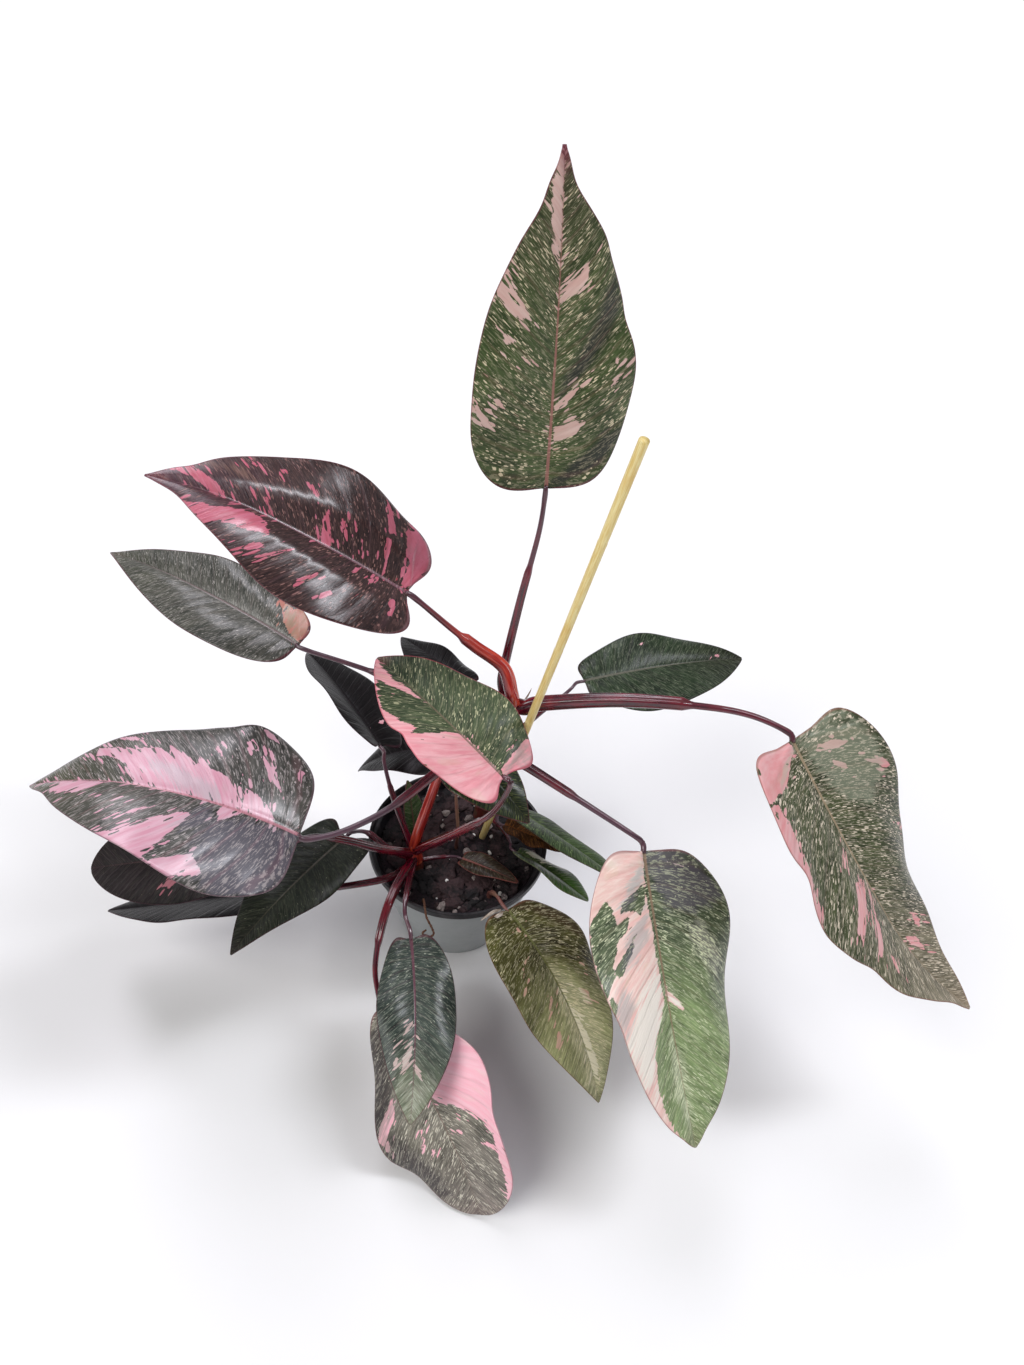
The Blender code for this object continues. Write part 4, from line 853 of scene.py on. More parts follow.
def patch_depth(leaf, outlines, x, y):
    """The deepest of several patches at each place, in mm. Their outlines bend with the blade's."""
    depth = np.full(x.shape, FAR_OUTSIDE)
    for outline in outlines:
        points = [(percent / 100, across / 100) for percent, across in outline]
        corners = []
        for start, end in zip(points, [*points[1:], points[0]]):
            steps = 1 + int(abs(end[0] - start[0]) / OUTLINE_STEP)
            for step in range(steps):
                share = start[0] + (end[0] - start[0]) * step / steps
                across = start[1] + (end[1] - start[1]) * step / steps
                half = leaf.half[0 if across >= 0 else 1]
                width = outline_width(leaf, max(share, 0.02), half)
                corners.append((share * leaf.length, across * width))
        depth = np.maximum(depth, polygon_depth(x, y, corners))
    return depth


def blade_grid(name, leaf, rows, columns):
    """Share of the length, place across, half width of its side and edge width, for each place."""
    share = np.linspace(0, 1, rows + 1)[:, None] ** ROW_SPREAD + np.zeros((1, 2 * columns + 1))
    spacing = np.linspace(-1, 1, 2 * columns + 1)
    across = np.sign(spacing) * np.abs(spacing) ** COLUMN_SPREAD + np.zeros((rows + 1, 1))
    half = of_side(leaf.half, across).astype(float)
    edge = outline_width(leaf, share, half)
    for side, at_share, spread, more in EDGES.get(name, ()):
        on_side = (across >= 0) == (side > 0)
        edge = np.where(on_side, edge + more * bell(share - at_share, spread), edge)
    return share, across, half, np.maximum(edge, TIP_HALF_WIDTH)


def blade_rise(name, leaf, rng, grid, reach, width):
    """How far waves, ruffles, bulges and dents lift each place of the blade, in mm."""
    share, across, half, _ = grid
    out = np.abs(across)
    flat = share * leaf.length
    size = leaf.length / FULL_RELIEF_LENGTH
    ruffle = RUFFLES.get(name, RUFFLE) * size
    hump = size * np.sin(np.pi * out) * 4 * share * (1 - share)
    turns = leaf.waves * reach / leaf.length + of_side(leaf.phase, across)
    rise = leaf.wave * (width / half) ** 2 * np.sin(2 * np.pi * turns)
    rise = rise + ruffle * out**3 * gentle_waves(rng, flat * RUFFLE_TURN, across * 2)
    rise = rise + SWELL * hump * gentle_waves(rng, flat * SWELL_TURN, width * 0.1)
    rise = rise + BULGE * hump
    for at_share, at_across, spread_share, spread_across, height in DENTS.get(name, ()):
        rise += height * bell(share - at_share, spread_share) * bell(across - at_across, spread_across)
    return rise


def blade_surface(name, leaf, rows, columns):
    """The blade's middle surface, and what its material reads at each place."""
    rng = random.Random(name)
    grid = blade_grid(name, leaf, rows, columns)
    share, across, half, edge = grid
    width = edge * np.abs(across)
    reach = blade_reach(leaf, share, np.abs(across), edge, half)
    rise = blade_rise(name, leaf, rng, grid, reach, width)
    fold = np.radians(of_side(leaf.fold, across))
    cup = np.radians(of_side(leaf.cup, across)) * width / half
    outward = width * np.cos(fold + cup / 2) - rise * np.sin(fold + cup)
    upward = width * np.sin(fold + cup / 2) + rise * np.cos(fold + cup)
    place, side, normal = on_midrib(leaf, reach)
    place = place + (np.sign(across) * outward)[..., None] * side + upward[..., None] * normal
    facing = unit(np.cross(np.gradient(place, axis=0), np.gradient(place, axis=1)))
    facing[0] = normal[0]
    facing[-1] = normal[-1]

    flat, signed = share * leaf.length, np.sign(across) * width
    pink, green, pale, dusk = (patch_depth(leaf, outlines.get(name, ()), flat, signed)
                               for outlines in (PINK, GREEN_ISLANDS, PALE, PAINTED_SHADE_SHEEN))
    vein = vein_start(leaf, reach, width)
    marks = {
        "vein_place": np.stack([vein, signed, np.full_like(vein, rng.uniform(0, 90))], -1),
        "patches": np.stack([np.minimum(pink, -green), pale, share], -1),
        "edges": np.stack([edge - width, width, dusk], -1),
    }
    return Sheet(place, facing, share, across, width, vein, marks)


def make_mesh(name, vertices, faces, coordinates, smooth=True):
    """A mesh object from arrays in mm, with named vectors on its vertices."""
    mesh = bpy.data.meshes.new(name)
    mesh.from_pydata((np.asarray(vertices) * MM).tolist(), [], faces)
    for key, values in coordinates.items():
        layer = mesh.attributes.new(key, "FLOAT_VECTOR", "POINT")
        layer.data.foreach_set("vector", np.ascontiguousarray(values, np.float32).ravel())
    mesh.validate()
    if smooth:
        mesh.shade_smooth()
    obj = bpy.data.objects.new(name, mesh)
    bpy.context.scene.collection.objects.link(obj)
    return obj


def dress(piece, node, *materials):
    """Give a piece its materials, hang it on the root body and hide the solid that it stands for."""
    for material in materials:
        piece.data.materials.append(material)
    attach(piece, "root")
    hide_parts(node)


def grid_faces(rows, columns, offset=0, flip=False):
    """Quads of a grid of (rows + 1) by (columns + 1) points."""
    index = np.arange((rows + 1) * (columns + 1)).reshape(rows + 1, columns + 1) + offset
    quads = np.stack([index[:-1, :-1], index[1:, :-1], index[1:, 1:], index[:-1, 1:]], -1).reshape(-1, 4)
    return (quads[:, ::-1] if flip else quads).tolist()


def rim_faces(rows, columns, offset):
    """Quads that join the upper and the lower grid around their edge."""
    index = np.arange((rows + 1) * (columns + 1)).reshape(rows + 1, columns + 1)
    loop = np.array([*index[0, :], *index[1:, -1], *index[-1, -2::-1], *index[-2:0:-1, 0]])
    after = np.roll(loop, -1)
    return np.stack([loop, after, after + offset, loop + offset], -1).tolist()


def blade_sides(leaf, sheet, vein_spacing):
    """Upper and lower face, in mm: quilted between the side veins, with a channel over a round ridge."""
    size = leaf.length / FULL_RELIEF_LENGTH
    share, out = sheet.share, np.clip(np.abs(sheet.across), 0, 1)
    thickness = EDGE_THICKNESS + (BLADE_THICKNESS - EDGE_THICKNESS) * (1 - out**4)
    quilt = np.abs(np.sin(np.pi * sheet.vein / vein_spacing)) ** 0.7
    quilt = QUILT * size * quilt * np.sin(np.pi * out) ** 0.7 * (1 - share)
    channel = CHANNEL_DEPTH * size * bell(sheet.width, CHANNEL_WIDTH * size) * (1 - share)
    ridge = RIDGE_HEIGHT * size * bell(sheet.width, RIDGE_WIDTH * size) * (1 - share) ** 0.8
    upper = sheet.place + sheet.facing * (thickness / 2 + quilt - channel)[..., None]
    lower = sheet.place - sheet.facing * (thickness / 2 + ridge - quilt * 0.6)[..., None]
    return upper, lower


def make_blade(name, leaf):
    rows, columns = LARGE_BLADE_GRID if leaf.length >= LARGE_BLADE_LENGTH else SMALL_BLADE_GRID
    sheet = blade_surface(name, leaf, rows, columns)
    vein_spacing = VEIN_SPACING * leaf.length
    upper, lower = blade_sides(leaf, sheet, vein_spacing)
    count = sheet.share.size
    vertices = np.vstack([upper.reshape(-1, 3), lower.reshape(-1, 3)])
    upper_faces = grid_faces(rows, 2 * columns)
    lower_faces = grid_faces(rows, 2 * columns, count, flip=True)
    faces = upper_faces + lower_faces + rim_faces(rows, 2 * columns, count)
    doubled = {key: np.vstack([values.reshape(-1, 3)] * 2) for key, values in sheet.marks.items()}
    blade = make_mesh(name + "_blade", vertices, faces, doubled)
    slots = np.zeros(len(blade.data.polygons), np.int32)
    slots[len(upper_faces):len(upper_faces) + len(lower_faces)] = 1
    look = USUAL_LOOK._replace(**LOOKS.get(name, DARK_LOOK))
    dress(blade, name, upper_material(name, look, vein_spacing), lower_material(name, look, vein_spacing))
    blade.data.polygons.foreach_set("material_index", slots)


# Leaf materials


def read_marks(tree):
    """What a blade's vertices hold. Depths in patches and distances are in mm."""
    pink, pale, share = tree.attribute("patches")
    margin, rib, dusk = tree.attribute("edges")
    return Marks(tree.attribute("vein_place"), pink, pale, dusk, share, margin, rib)


def ragged_mask(tree, depth, place):
    """A patch with an edge torn along the side veins."""
    coarse = tree.noise(tree.drawn_out(place, across=0.22), 0.3, 4, 0.6)
    fine = tree.noise(tree.drawn_out(place, across=0.3), 1.3, 2)
    torn = tree.stirred(tree.stirred(depth, coarse, 6.0), fine, 2.1)
    return tree.step(torn, -0.15, 0.15)


def dashes(tree, place, stretch, scale, size, coverage):
    """Separate dashes, one at most in each cell of a loose grid, of random size up to size.

    coverage is the share of cells with a dash; stretch below 1 draws dashes out along the side veins.
    """
    along, across, seed = place
    vector = tree.join(tree.math("ADD", along, seed), tree.times(across, stretch), 0.0)
    wobble = tree.add("ShaderNodeTexNoise", {"Vector": vector, "Scale": scale * 2.5}, 1)
    shift = (0.45 / scale,) * 3
    shifted = tree.add("ShaderNodeVectorMath", {0: wobble, 1: shift}, operation="MULTIPLY")
    moved = tree.add("ShaderNodeVectorMath", {0: vector, 1: shifted}, operation="ADD")
    inputs = {"Vector": moved, "Scale": scale}
    distance = tree.add("ShaderNodeTexVoronoi", inputs, voronoi_dimensions="2D")
    lot, _, _ = tree.split(distance.node.outputs["Color"])
    present = tree.math("SUBTRACT", lot, tree.math("SUBTRACT", 1.0, coverage))
    reach = tree.times(tree.times(present, 2.0, clamp=True), size)
    return tree.step(tree.math("SUBTRACT", reach, distance), 0.0, 0.05)


def side_veins(tree, place, spacing):
    """1 on the side veins, falling to 0 between them."""
    wander = tree.noise(tree.join(*place), 0.06, 1)
    away = tree.math("PINGPONG", tree.times(wander, spacing * 0.35, place[0]), spacing / 2)
    return tree.step(away, 0.12 * spacing, 0.01 * spacing)


def green_ground(tree, look, share, clouds, washes, fibres):
    """Two greens in clouds and in streaks along the side veins, turning to the tip's green."""
    tones = tree.times(washes, 1.7, tree.times(clouds, 1.3, -1.8))
    tones = tree.times(fibres, 1.5, tones, clamp=True)
    ground = tree.mix(tones, look.deep, look.mid)
    tip = tree.mix(tones, dimmed(look.tip, 0.66), look.tip)
    to_tip = tree.step(tree.times(clouds, 0.3, share), look.tip_from, look.tip_from + 0.4)
    return tree.mix(to_tip, ground, tip)


def speckled(tree, look, place, color, threads, paled, painted_shade_sheen_mask):
    """Pale threads, specks in clusters and larger flecks, all drawn out along the side veins."""
    clusters = tree.noise(tree.drawn_out(place, across=0.5), 0.12, 2)
    crowding = tree.times(paled, 0.5, tree.step(clusters, 0.34, 0.62, 0.4 * look.specks, look.specks))
    # Fewer specks where shade and sheen are painted.
    crowding = tree.times(crowding, tree.times(painted_shade_sheen_mask, -0.7, 1.0))
    veil = tree.step(threads, 0.51, 0.6, 0.0, look.haze)
    color = tree.mix(tree.times(veil, tree.times(paled, 0.8, 1.0), clamp=True), color, look.speck)
    # From fine to large: stretch, cells in a mm, size in cells, share of cells, strength and colour.
    kinds = (
        (0.27, 1.15, 0.42, 0.8, 0.9, look.speck),
        (0.2, 0.55, 0.25, 0.4, 0.85, look.speck),
        (0.2, 0.17, 0.26, 0.28 * look.flecks, 0.9, look.fleck),
    )
    for stretch, scale, size, share, strength, tint in kinds:
        marks = dashes(tree, place, stretch, scale, size, tree.times(crowding, share))
        color = tree.mix(tree.times(marks, strength), color, tint)
    return color


def patched(tree, look, marks, color, washes, paled, painted_shade_sheen_mask):
    """Patches without green, torn along the side veins and crumbling into flecks at their edge."""
    pink = tree.mix(tree.step(washes, 0.3, 0.7, 0.1, 0.9), look.pink, look.pink_light)
    faded = tree.noise(tree.drawn_out(marks.place, across=0.3), 0.22, 3)
    pink = tree.mix(tree.step(faded, 0.56, 0.68, 0.0, 0.18), pink, look.speck)
    pink = tree.mix(paled, pink, look.pale)
    # Patches greyed towards the colour of the painted shade and sheen.
    pink = tree.mix(painted_shade_sheen_mask, pink, blend(look.dusk, look.pale, 0.6))
    from_edge = tree.math("ABSOLUTE", tree.math("ADD", marks.pink, 1.0))
    near_edge = tree.step(from_edge, 11.0, 0.0, 0.0, 0.6 * look.crumble)
    crumbs = dashes(tree, marks.place, 0.3, 0.36, 0.36, near_edge)
    jagged = tree.times(crumbs, tree.step(marks.pink, 0.5, -0.5, -7.0, 9.0), marks.pink)
    return tree.mix(ragged_mask(tree, jagged, marks.place), color, pink)


def lined(tree, look, marks, color, veins):
    """Faint side veins, a midrib that thins out, and a fine margin whose colour fills the tip."""
    vein_tint = tree.times(tree.times(veins, tree.step(marks.margin, 0.0, 6.0)), 0.1)
    color = tree.mix(vein_tint, color, look.rib)
    from_rib = tree.math("SUBTRACT", marks.rib, tree.times(marks.share, -0.9, 1.15))
    rib = tree.step(from_rib, 0.25, -0.25, 0.0, 0.8)
    color = tree.mix(tree.times(rib, tree.step(marks.share, 1.0, 0.55, 0.35)), color, look.rib)
    margin = tree.step(marks.margin, 0.6, 0.2, 0.0, 0.6)
    margin = tree.math("MAXIMUM", margin, tree.step(marks.share, 0.92, 1.0, 0.0, look.blush))
    return tree.mix(margin, color, look.margin)


def upper_material(name, look, spacing):
    """Streaky green with painted shade and sheen, under pale marks and pink patches, with sunken side veins
    and a coat of wax.
    """
    tree = Tree(name + "_upper")
    marks = read_marks(tree)
    streaks = tree.drawn_out(marks.place, across=0.14)
    clouds = tree.noise(tree.join(*marks.place), 0.045, 3)
    washes = tree.noise(streaks, 0.42, 3, 0.6)
    fibres = tree.noise(streaks, 1.0, 2, 0.65)
    threads = tree.noise(streaks, 1.5, 3, 0.7)
    veins = side_veins(tree, marks.place, spacing)

    # Pale areas, and areas of painted shade and painted sheen, both with streaky edges.
    streaky = tree.times(washes, 18.0, tree.times(fibres, 12.0, -15.0))
    paled = tree.step(tree.math("ADD", marks.pale, streaky), -2.0, 4.0)
    painted_shade_sheen_mask = tree.step(tree.times(streaky, 0.9, marks.dusk), -4.0, 2.5, 0.0, 0.75)

    color = green_ground(tree, look, marks.share, clouds, washes, fibres)
    # Pale areas lighten the green a little; where one is a painted sheen, this is painted light.
    color = tree.mix(tree.times(paled, 0.2), color, look.pale)
    # Painted shade in folds and painted sheen on shoulders, over the green.
    color = tree.mix(painted_shade_sheen_mask, color, look.dusk)
    color = speckled(tree, look, marks.place, color, threads, paled, painted_shade_sheen_mask)
    color = patched(tree, look, marks, color, washes, paled, painted_shade_sheen_mask)
    color = lined(tree, look, marks, color, veins)
    height = tree.times(washes, 0.7, tree.times(veins, -0.5, tree.times(fibres, 0.8)))
    return tree.finish(color=color, roughness=tree.times(fibres, 0.25, look.rough - 0.12),
                       normal=tree.bump(height, 0.0005, 0.8), coat=look.gloss, coat_roughness=0.2,
                       specular=0.1 + 0.4 * look.gloss)


def lower_material(name, look, spacing):
    """Maroon with green clouds, raised side veins and the upper side's patches showing through."""
    tree = Tree(name + "_lower")
    marks = read_marks(tree)
    streaks = tree.drawn_out(marks.place, across=0.25)
    clouds = tree.noise(tree.join(*marks.place), 0.05, 3)
    washes = tree.noise(streaks, 0.6, 4, 0.6)
    specks = tree.noise(streaks, 1.1, 2)
    grain = tree.noise(streaks, 2.0, 3, 0.6)
    veins = side_veins(tree, marks.place, spacing)
    color = tree.mix(washes, dimmed(look.under, 0.62), look.under)
    color = tree.mix(tree.step(clouds, 0.4, 0.75, 0.0, 0.7), color, blend(look.under, look.mid, 0.5))
    color = tree.mix(tree.step(specks, 0.62, 0.68, 0.0, 0.4), color, look.speck)
    patches = ragged_mask(tree, marks.pink, marks.place)
    color = tree.mix(tree.times(patches, 0.8), color, dimmed(look.pink, 0.86))
    color = tree.mix(tree.times(veins, 0.4), color, look.rib)
    color = tree.mix(tree.step(marks.rib, 2.0, 0.9, 0.0, 0.9), color, (118, 52, 64))
    color = tree.mix(tree.step(marks.margin, 0.75, 0.25, 0.0, 0.9), color, look.margin)
    height = tree.times(veins, 0.9, tree.times(grain, 0.5))
    return tree.finish(color=color, roughness=0.5, normal=tree.bump(height, 0.0004, 0.6), coat=0.05,
                       coat_roughness=0.3)


# Stalks and stems


def spline_point(points, place):
    """A point on the Catmull-Rom curve through points, place counted in spans from the first."""
    span = min(int(place), len(points) - 2)
    t = place - span
    before = points[max(span - 1, 0)]
    start, end = points[span], points[span + 1]
    after = points[min(span + 2, len(points) - 1)]
    return 0.5 * (
        2 * start
        + (end - before) * t
        + (2 * before - 5 * start + 4 * end - after) * t * t
        + (3 * start - before - 3 * end + after) * t**3
    )


def running_length(places):
    """Distance along a line of points from the first to each of them."""
    return np.concatenate([[0], np.cumsum(np.linalg.norm(np.diff(places, axis=0), axis=1))])


def smooth_route(route, step):
    """Evenly spaced points along the smooth curve through a route, with their share of its length."""
    points = [np.array(point, float) for point in route]
    spans = np.linspace(0, len(points) - 1, 24 * len(points))
    fine = np.array([spline_point(points, place) for place in spans])
    lengths = running_length(fine)
    shares = np.linspace(0, 1, max(3, round(lengths[-1] / step)) + 1)
    places = [np.interp(shares * lengths[-1], lengths, fine[:, axis]) for axis in range(3)]
    return np.array(places).T, shares


def sweep(places, radius_at, facing, sides):
    """Rings of a swept form. radius_at(ring, angle) is in mm, with angle 0 on the facing side."""
    places = np.asarray(places, float)
    along = unit(np.gradient(places, axis=0))
    top = unit(facing - along * (along @ facing)[:, None])
    right = np.cross(along, top)
    angles = np.linspace(-np.pi, np.pi, sides + 1)[:-1]
    ring, angle = np.meshgrid(np.arange(len(places)), angles, indexing="ij")
    spread = np.cos(angle)[..., None] * top[:, None, :] + np.sin(angle)[..., None] * right[:, None, :]
    return places[:, None, :] + radius_at(ring, angle)[..., None] * spread, angles


def tube_faces(rings, sides):
    """Quads around a tube of rings, with one face closing each end."""
    index = np.arange(rings * sides).reshape(rings, sides)
    after = np.roll(index, -1, axis=1)
    quads = np.stack([index[:-1], after[:-1], after[1:], index[1:]], -1).reshape(-1, 4)
    return [*quads.tolist(), index[0, ::-1].tolist(), index[-1].tolist()]


class Merge:
    """Vertices, faces and what the material reads, of several parts gathered into one piece."""

    def __init__(self):
        self.vertices = []
        self.faces = []
        self.marks = {}
        self.count = 0

    def add(self, vertices, faces, **marks):
        vertices = np.asarray(vertices, float).reshape(-1, 3)
        self.faces += [[index + self.count for index in face] for face in faces]
        self.vertices.append(vertices)
        self.count += len(vertices)
        for key, values in marks.items():
            self.marks.setdefault(key, []).append(values.reshape(-1, 3))

    def add_tube(self, rings, **marks):
        """Rings of a tube. Each mark is three values, for each ring, around a ring or for the tube."""
        shape = rings.shape[:2]
        spread = {key: np.stack([np.broadcast_to(value, shape) for value in values], -1)
                  for key, values in marks.items()}
        self.add(rings, tube_faces(*shape), **spread)

    def make(self, name, material, node, smooth=True):
        marks = {key: np.vstack(values) for key, values in self.marks.items()}
        dress(make_mesh(name, np.vstack(self.vertices), self.faces, marks, smooth), node, material)


def make_tube(name, material, node, places, radii, sides=24):
    """A piece swept along places with a radius at each, both in mm."""
    radii = np.asarray(radii, float)
    rings, angles = sweep(places, lambda ring, angle: radii[ring], np.array((0.3, -1.0, 0.2)), sides)
    around = angles * radii.max()
    tube = Merge()
    tube.add_tube(rings, stalk_place=(running_length(places)[:, None], around, places[0][0]))
    tube.make(name, material, node)


def add_petiole(merge, petiole):
    """A stalk with a winged, grooved sheath that ends in a short step, then a bare stalk with a knee."""
    leaf = LEAVES[petiole.leaf]
    _, _, along, _, normals = rib_stations(leaf)
    base = np.array(leaf.base, float)
    end = base + along[0] * STALK_END - normals[0] * STALK_DROP
    places, shares = smooth_route((*petiole.route, base - KNEE * along[0], end), STALK_STEP)
    lengths = running_length(places)
    from_end = lengths[-1] - lengths

    heading = places[-1] - places[0]
    heading[2] = 0
    facing = np.array([0, 0, 1.0]) - UPPER_SIDE_LEAN * unit(heading)
    bare = np.clip((shares - SHEATH_SHARE) / SHEATH_END, 0, 1)
    sheath = petiole.wrap * np.interp(shares, (0, SHEATH_SHARE), SHEATH_RADII)
    stalk = np.interp(shares, (SHEATH_SHARE, 1), STALK_RADII)
    knee = 1 + KNEE_SWELL * bell(from_end - KNEE_PLACE, KNEE_WIDTH)
    core = petiole.girth * (sheath * (1 - bare) + stalk * bare) * knee

    def radius_at(ring, angle):
        wing = WING_RISE * (1 - bare[ring]) * bell(np.abs(angle) - WING_ANGLE, WING_SPREAD)
        depth = SHEATH_GROOVE + (STALK_GROOVE - SHEATH_GROOVE) * bare[ring]
        return core[ring] * (1 + wing - depth * bell(angle, GROOVE_SPREAD))

    rings, angles = sweep(places, radius_at, facing, STALK_SIDES)
    ash = petiole.ash * np.clip((shares - SHEATH_SHARE + ASH_LEAD) / ASH_RAMP, 0, 1)
    glow = petiole.glow * np.clip(GLOW_START - shares / GLOW_FADE, 0, 1)
    from_knee = np.clip(from_end / KNEE_SHADE, 0, 1)
    merge.add_tube(
        rings,
        stalk_place=(lengths[:, None], angles * 2.5, base[0] + base[1]),
        stalk_look=(ash[:, None], glow[:, None], from_knee[:, None]),
    )


def stalk_material():
    """Glossy maroon sheath with brighter streaks, greying towards the blade. Where it glows, its orange-red
    lies on the upper side only, as painted light.
    """
    tree = Tree("stalk_skin")
    place = tree.attribute("stalk_place")
    ash, glow, knee = tree.attribute("stalk_look")
    streaks = tree.noise(tree.drawn_out(place, along=0.07), 0.9, 4, 0.6)
    bands = tree.noise(tree.drawn_out(place, across=0.0), 0.05, 2)
    dots = tree.noise(tree.drawn_out(place, along=0.4), 2.6, 2)
    color = tree.mix(tree.step(streaks, 0.35, 0.68), (48, 6, 20), (112, 12, 38))
    color = tree.mix(tree.step(bands, 0.5, 0.72, 0.0, 0.4), color, (146, 26, 34))
    color = tree.mix(ash, color, tree.mix(streaks, (46, 26, 40), (100, 70, 86)))
    color = tree.mix(tree.step(dots, 0.66, 0.72, 0.0, 0.4), color, (150, 100, 96))
    # Painted light: the sheath's orange-red lies only on its upper side, as if lit from above; below, the
    # sheath stays maroon as painted shade.
    orange_and_painted_light = tree.mix(tree.step(streaks, 0.3, 0.7), (186, 24, 14), (250, 92, 50))
    painted_light_side = tree.step(tree.math("ABSOLUTE", place[1]), 2.6, 4.6, 1.0, 0.12)
    color = tree.mix(tree.times(glow, painted_light_side), color, orange_and_painted_light)
    color = tree.mix(tree.step(knee, 1.0, 0.3, 0.0, 0.55), color, (74, 40, 52))
    normal = tree.bump(tree.times(dots, 0.3, streaks), 0.0001, 0.04)
    return tree.finish(color=color, roughness=tree.times(ash, 0.25, 0.24), normal=normal, coat=0.8,
                       coat_roughness=0.05, specular=0.4)


# Skins with streaks between a dark and a light colour. streaks is how far they are drawn out, then the
# scale, detail and roughness of their noise, and turn is where that noise goes from dark to light.
# relief is the bump's distance in metres and its strength, and coat is the wax coat's weight and
# roughness. Where there are blotches, blotches is how far they reach around, then the scale and detail
# of their noise, blotch is where that noise sets in, where it is full and how strong it gets, and tint
# is their colour.
Skin = namedtuple(
    "Skin", "streaks dark light relief rough coat turn blotches blotch tint specular",
    defaults=((0.0, 0.03), None, None, None, None, 0.5))

SKINS = {
    # The single stalks: reddish brown.
    "young_stalk_skin": Skin(
        streaks=(0.08, 1.1, 4, 0.6), dark=(92, 58, 52), light=(156, 120, 96), relief=(0.0003, 0.4),
        rough=0.4, coat=(0.2, 0.2), blotches=(0.0, 0.04, 2), blotch=(0.4, 0.6, 0.6), tint=(110, 44, 50)),
    # The stems: red-brown, greener in places.
    "stem_skin": Skin(
        streaks=(0.15, 0.8, 4, 0.6), dark=(48, 20, 20), light=(122, 44, 34), relief=(0.0005, 0.5),
        rough=0.42, coat=(0.2, 0.2), blotches=(1.0, 0.08, 2), blotch=(0.45, 0.65, 0.6), tint=(74, 70, 42)),
    # The sheaths around the growing tips: glossy orange-red.
    "bud_skin": Skin(
        streaks=(0.12, 0.9, 4, 0.6), turn=(0.3, 0.7), dark=(122, 18, 20), light=(208, 66, 40),
        relief=(0.0003, 0.4), rough=0.25, coat=(0.7, 0.1),
        blotches=(1.0, 0.16, 2), blotch=(0.5, 0.7, 0.7), tint=(226, 120, 66)),
    "bamboo_skin": Skin(
        streaks=(0.05, 1.6, 5, 0.65), turn=(0.3, 0.7), dark=(222, 190, 106), light=(246, 232, 170),
        relief=(0.0003, 0.5), rough=0.42, coat=(0.15, 0.3),
        blotches=(1.0, 0.05, 3), blotch=(0.5, 0.7, 0.5), tint=(222, 182, 96)),
    "root_skin": Skin(
        streaks=(1.0, 1.4, 4, 0.65), turn=(0.35, 0.7), dark=(66, 38, 28), light=(140, 98, 70),
        relief=(0.0004, 0.8), rough=0.8),
    "dry_sheath_skin": Skin(
        streaks=(0.12, 1.6, 4, 0.6), turn=(0.35, 0.65), dark=(122, 98, 78), light=(206, 196, 184),
        relief=(0.0003, 0.5), rough=0.75, specular=0.25),
}


def skin_material(name):
    """One of the streaky skins."""
    skin = SKINS[name]
    tree = Tree(name)
    place = tree.attribute("stalk_place")
    stretch, *texture = skin.streaks
    streaks = tree.noise(tree.drawn_out(place, along=stretch), *texture)
    turned_light = tree.step(streaks, *skin.turn) if skin.turn else streaks
    color = tree.mix(turned_light, skin.dark, skin.light)
    if skin.blotches:
        around, *texture = skin.blotches
        low, high, strength = skin.blotch
        blotches = tree.noise(tree.drawn_out(place, across=around), *texture)
        color = tree.mix(tree.step(blotches, low, high, 0.0, strength), color, skin.tint)
    coat, coat_roughness = skin.coat
    return tree.finish(color=color, roughness=skin.rough, normal=tree.bump(streaks, *skin.relief),
                       coat=coat, coat_roughness=coat_roughness, specular=skin.specular)


def stem_radii(shares, radii, length):
    """The stem's radius with a low ring at each leaf scar."""
    smooth = np.interp(shares, np.linspace(0, 1, len(radii)), radii)
    from_scar = (shares * length + SCAR_SPACING / 2) % SCAR_SPACING - SCAR_SPACING / 2
    return smooth * (1 + SCAR_RISE * bell(from_scar, SCAR_WIDTH))


def make_stem(name, node, route, radii, bud_from, petioles, skins):
    """The stem up to a share of its route, its bud above that, and its petioles."""
    places, shares = smooth_route(route, STEM_STEP)
    widths = stem_radii(shares, radii, STEM_STEP * len(places))
    split = int(len(places) * bud_from)
    stem_skin, bud_skin, stalk_skin = skins
    core_end = split + 2
    make_tube(name + "_core", stem_skin, node, places[:core_end], widths[:core_end] * SLIMMER)
    swell = 1 + BUD_SWELL * np.sin(np.pi * np.linspace(0, 1, len(places) - split))
    make_tube(name + "_bud", bud_skin, node, places[split:], widths[split:] * swell)
    stalks = Merge()
    for petiole in petioles:
        add_petiole(stalks, petiole)
    stalks.make(name + "_stalks", stalk_skin, node)


def make_single_stalk(node, petiole):
    stalk = Merge()
    add_petiole(stalk, petiole)
    stalk.make(node + "_skin", skin_material("young_stalk_skin"), node)


def make_stake():
    """A bamboo cane with a raised ring and a groove at each joint."""
    lean = unit(STAKE_LEAN)
    steps = np.arange(0, STAKE_BURIED + STAKE_LENGTH_ABOVE + 0.5, 1.0)
    radii = np.full(len(steps), STAKE_RADIUS * SLIMMER)
    for joint in STAKE_JOINTS:
        ring = JOINT_RING[0] * bell(steps - joint, JOINT_RING[1])
        groove = JOINT_GROOVE[0] * bell(steps - joint - JOINT_GROOVE_PLACE, JOINT_GROOVE[1])
        radii += ring - groove
    places = STAKE_FOOT - lean * STAKE_BURIED + steps[:, None] * lean
    make_tube("bamboo_stake", skin_material("bamboo_skin"), "stake", places, radii, sides=28)


def make_aerial_root():
    """A thin root of uneven girth."""
    step = 0.6
    places, _ = smooth_route(AERIAL_ROOT, step)
    lengths = np.arange(len(places)) * step
    radii = AERIAL_ROOT_RADIUS * (1 + 0.12 * np.sin(lengths * 1.7) + 0.08 * np.sin(lengths * 4.1))
    make_tube("aerial_root_bark", skin_material("root_skin"), "aerial_root", places, radii, sides=14)


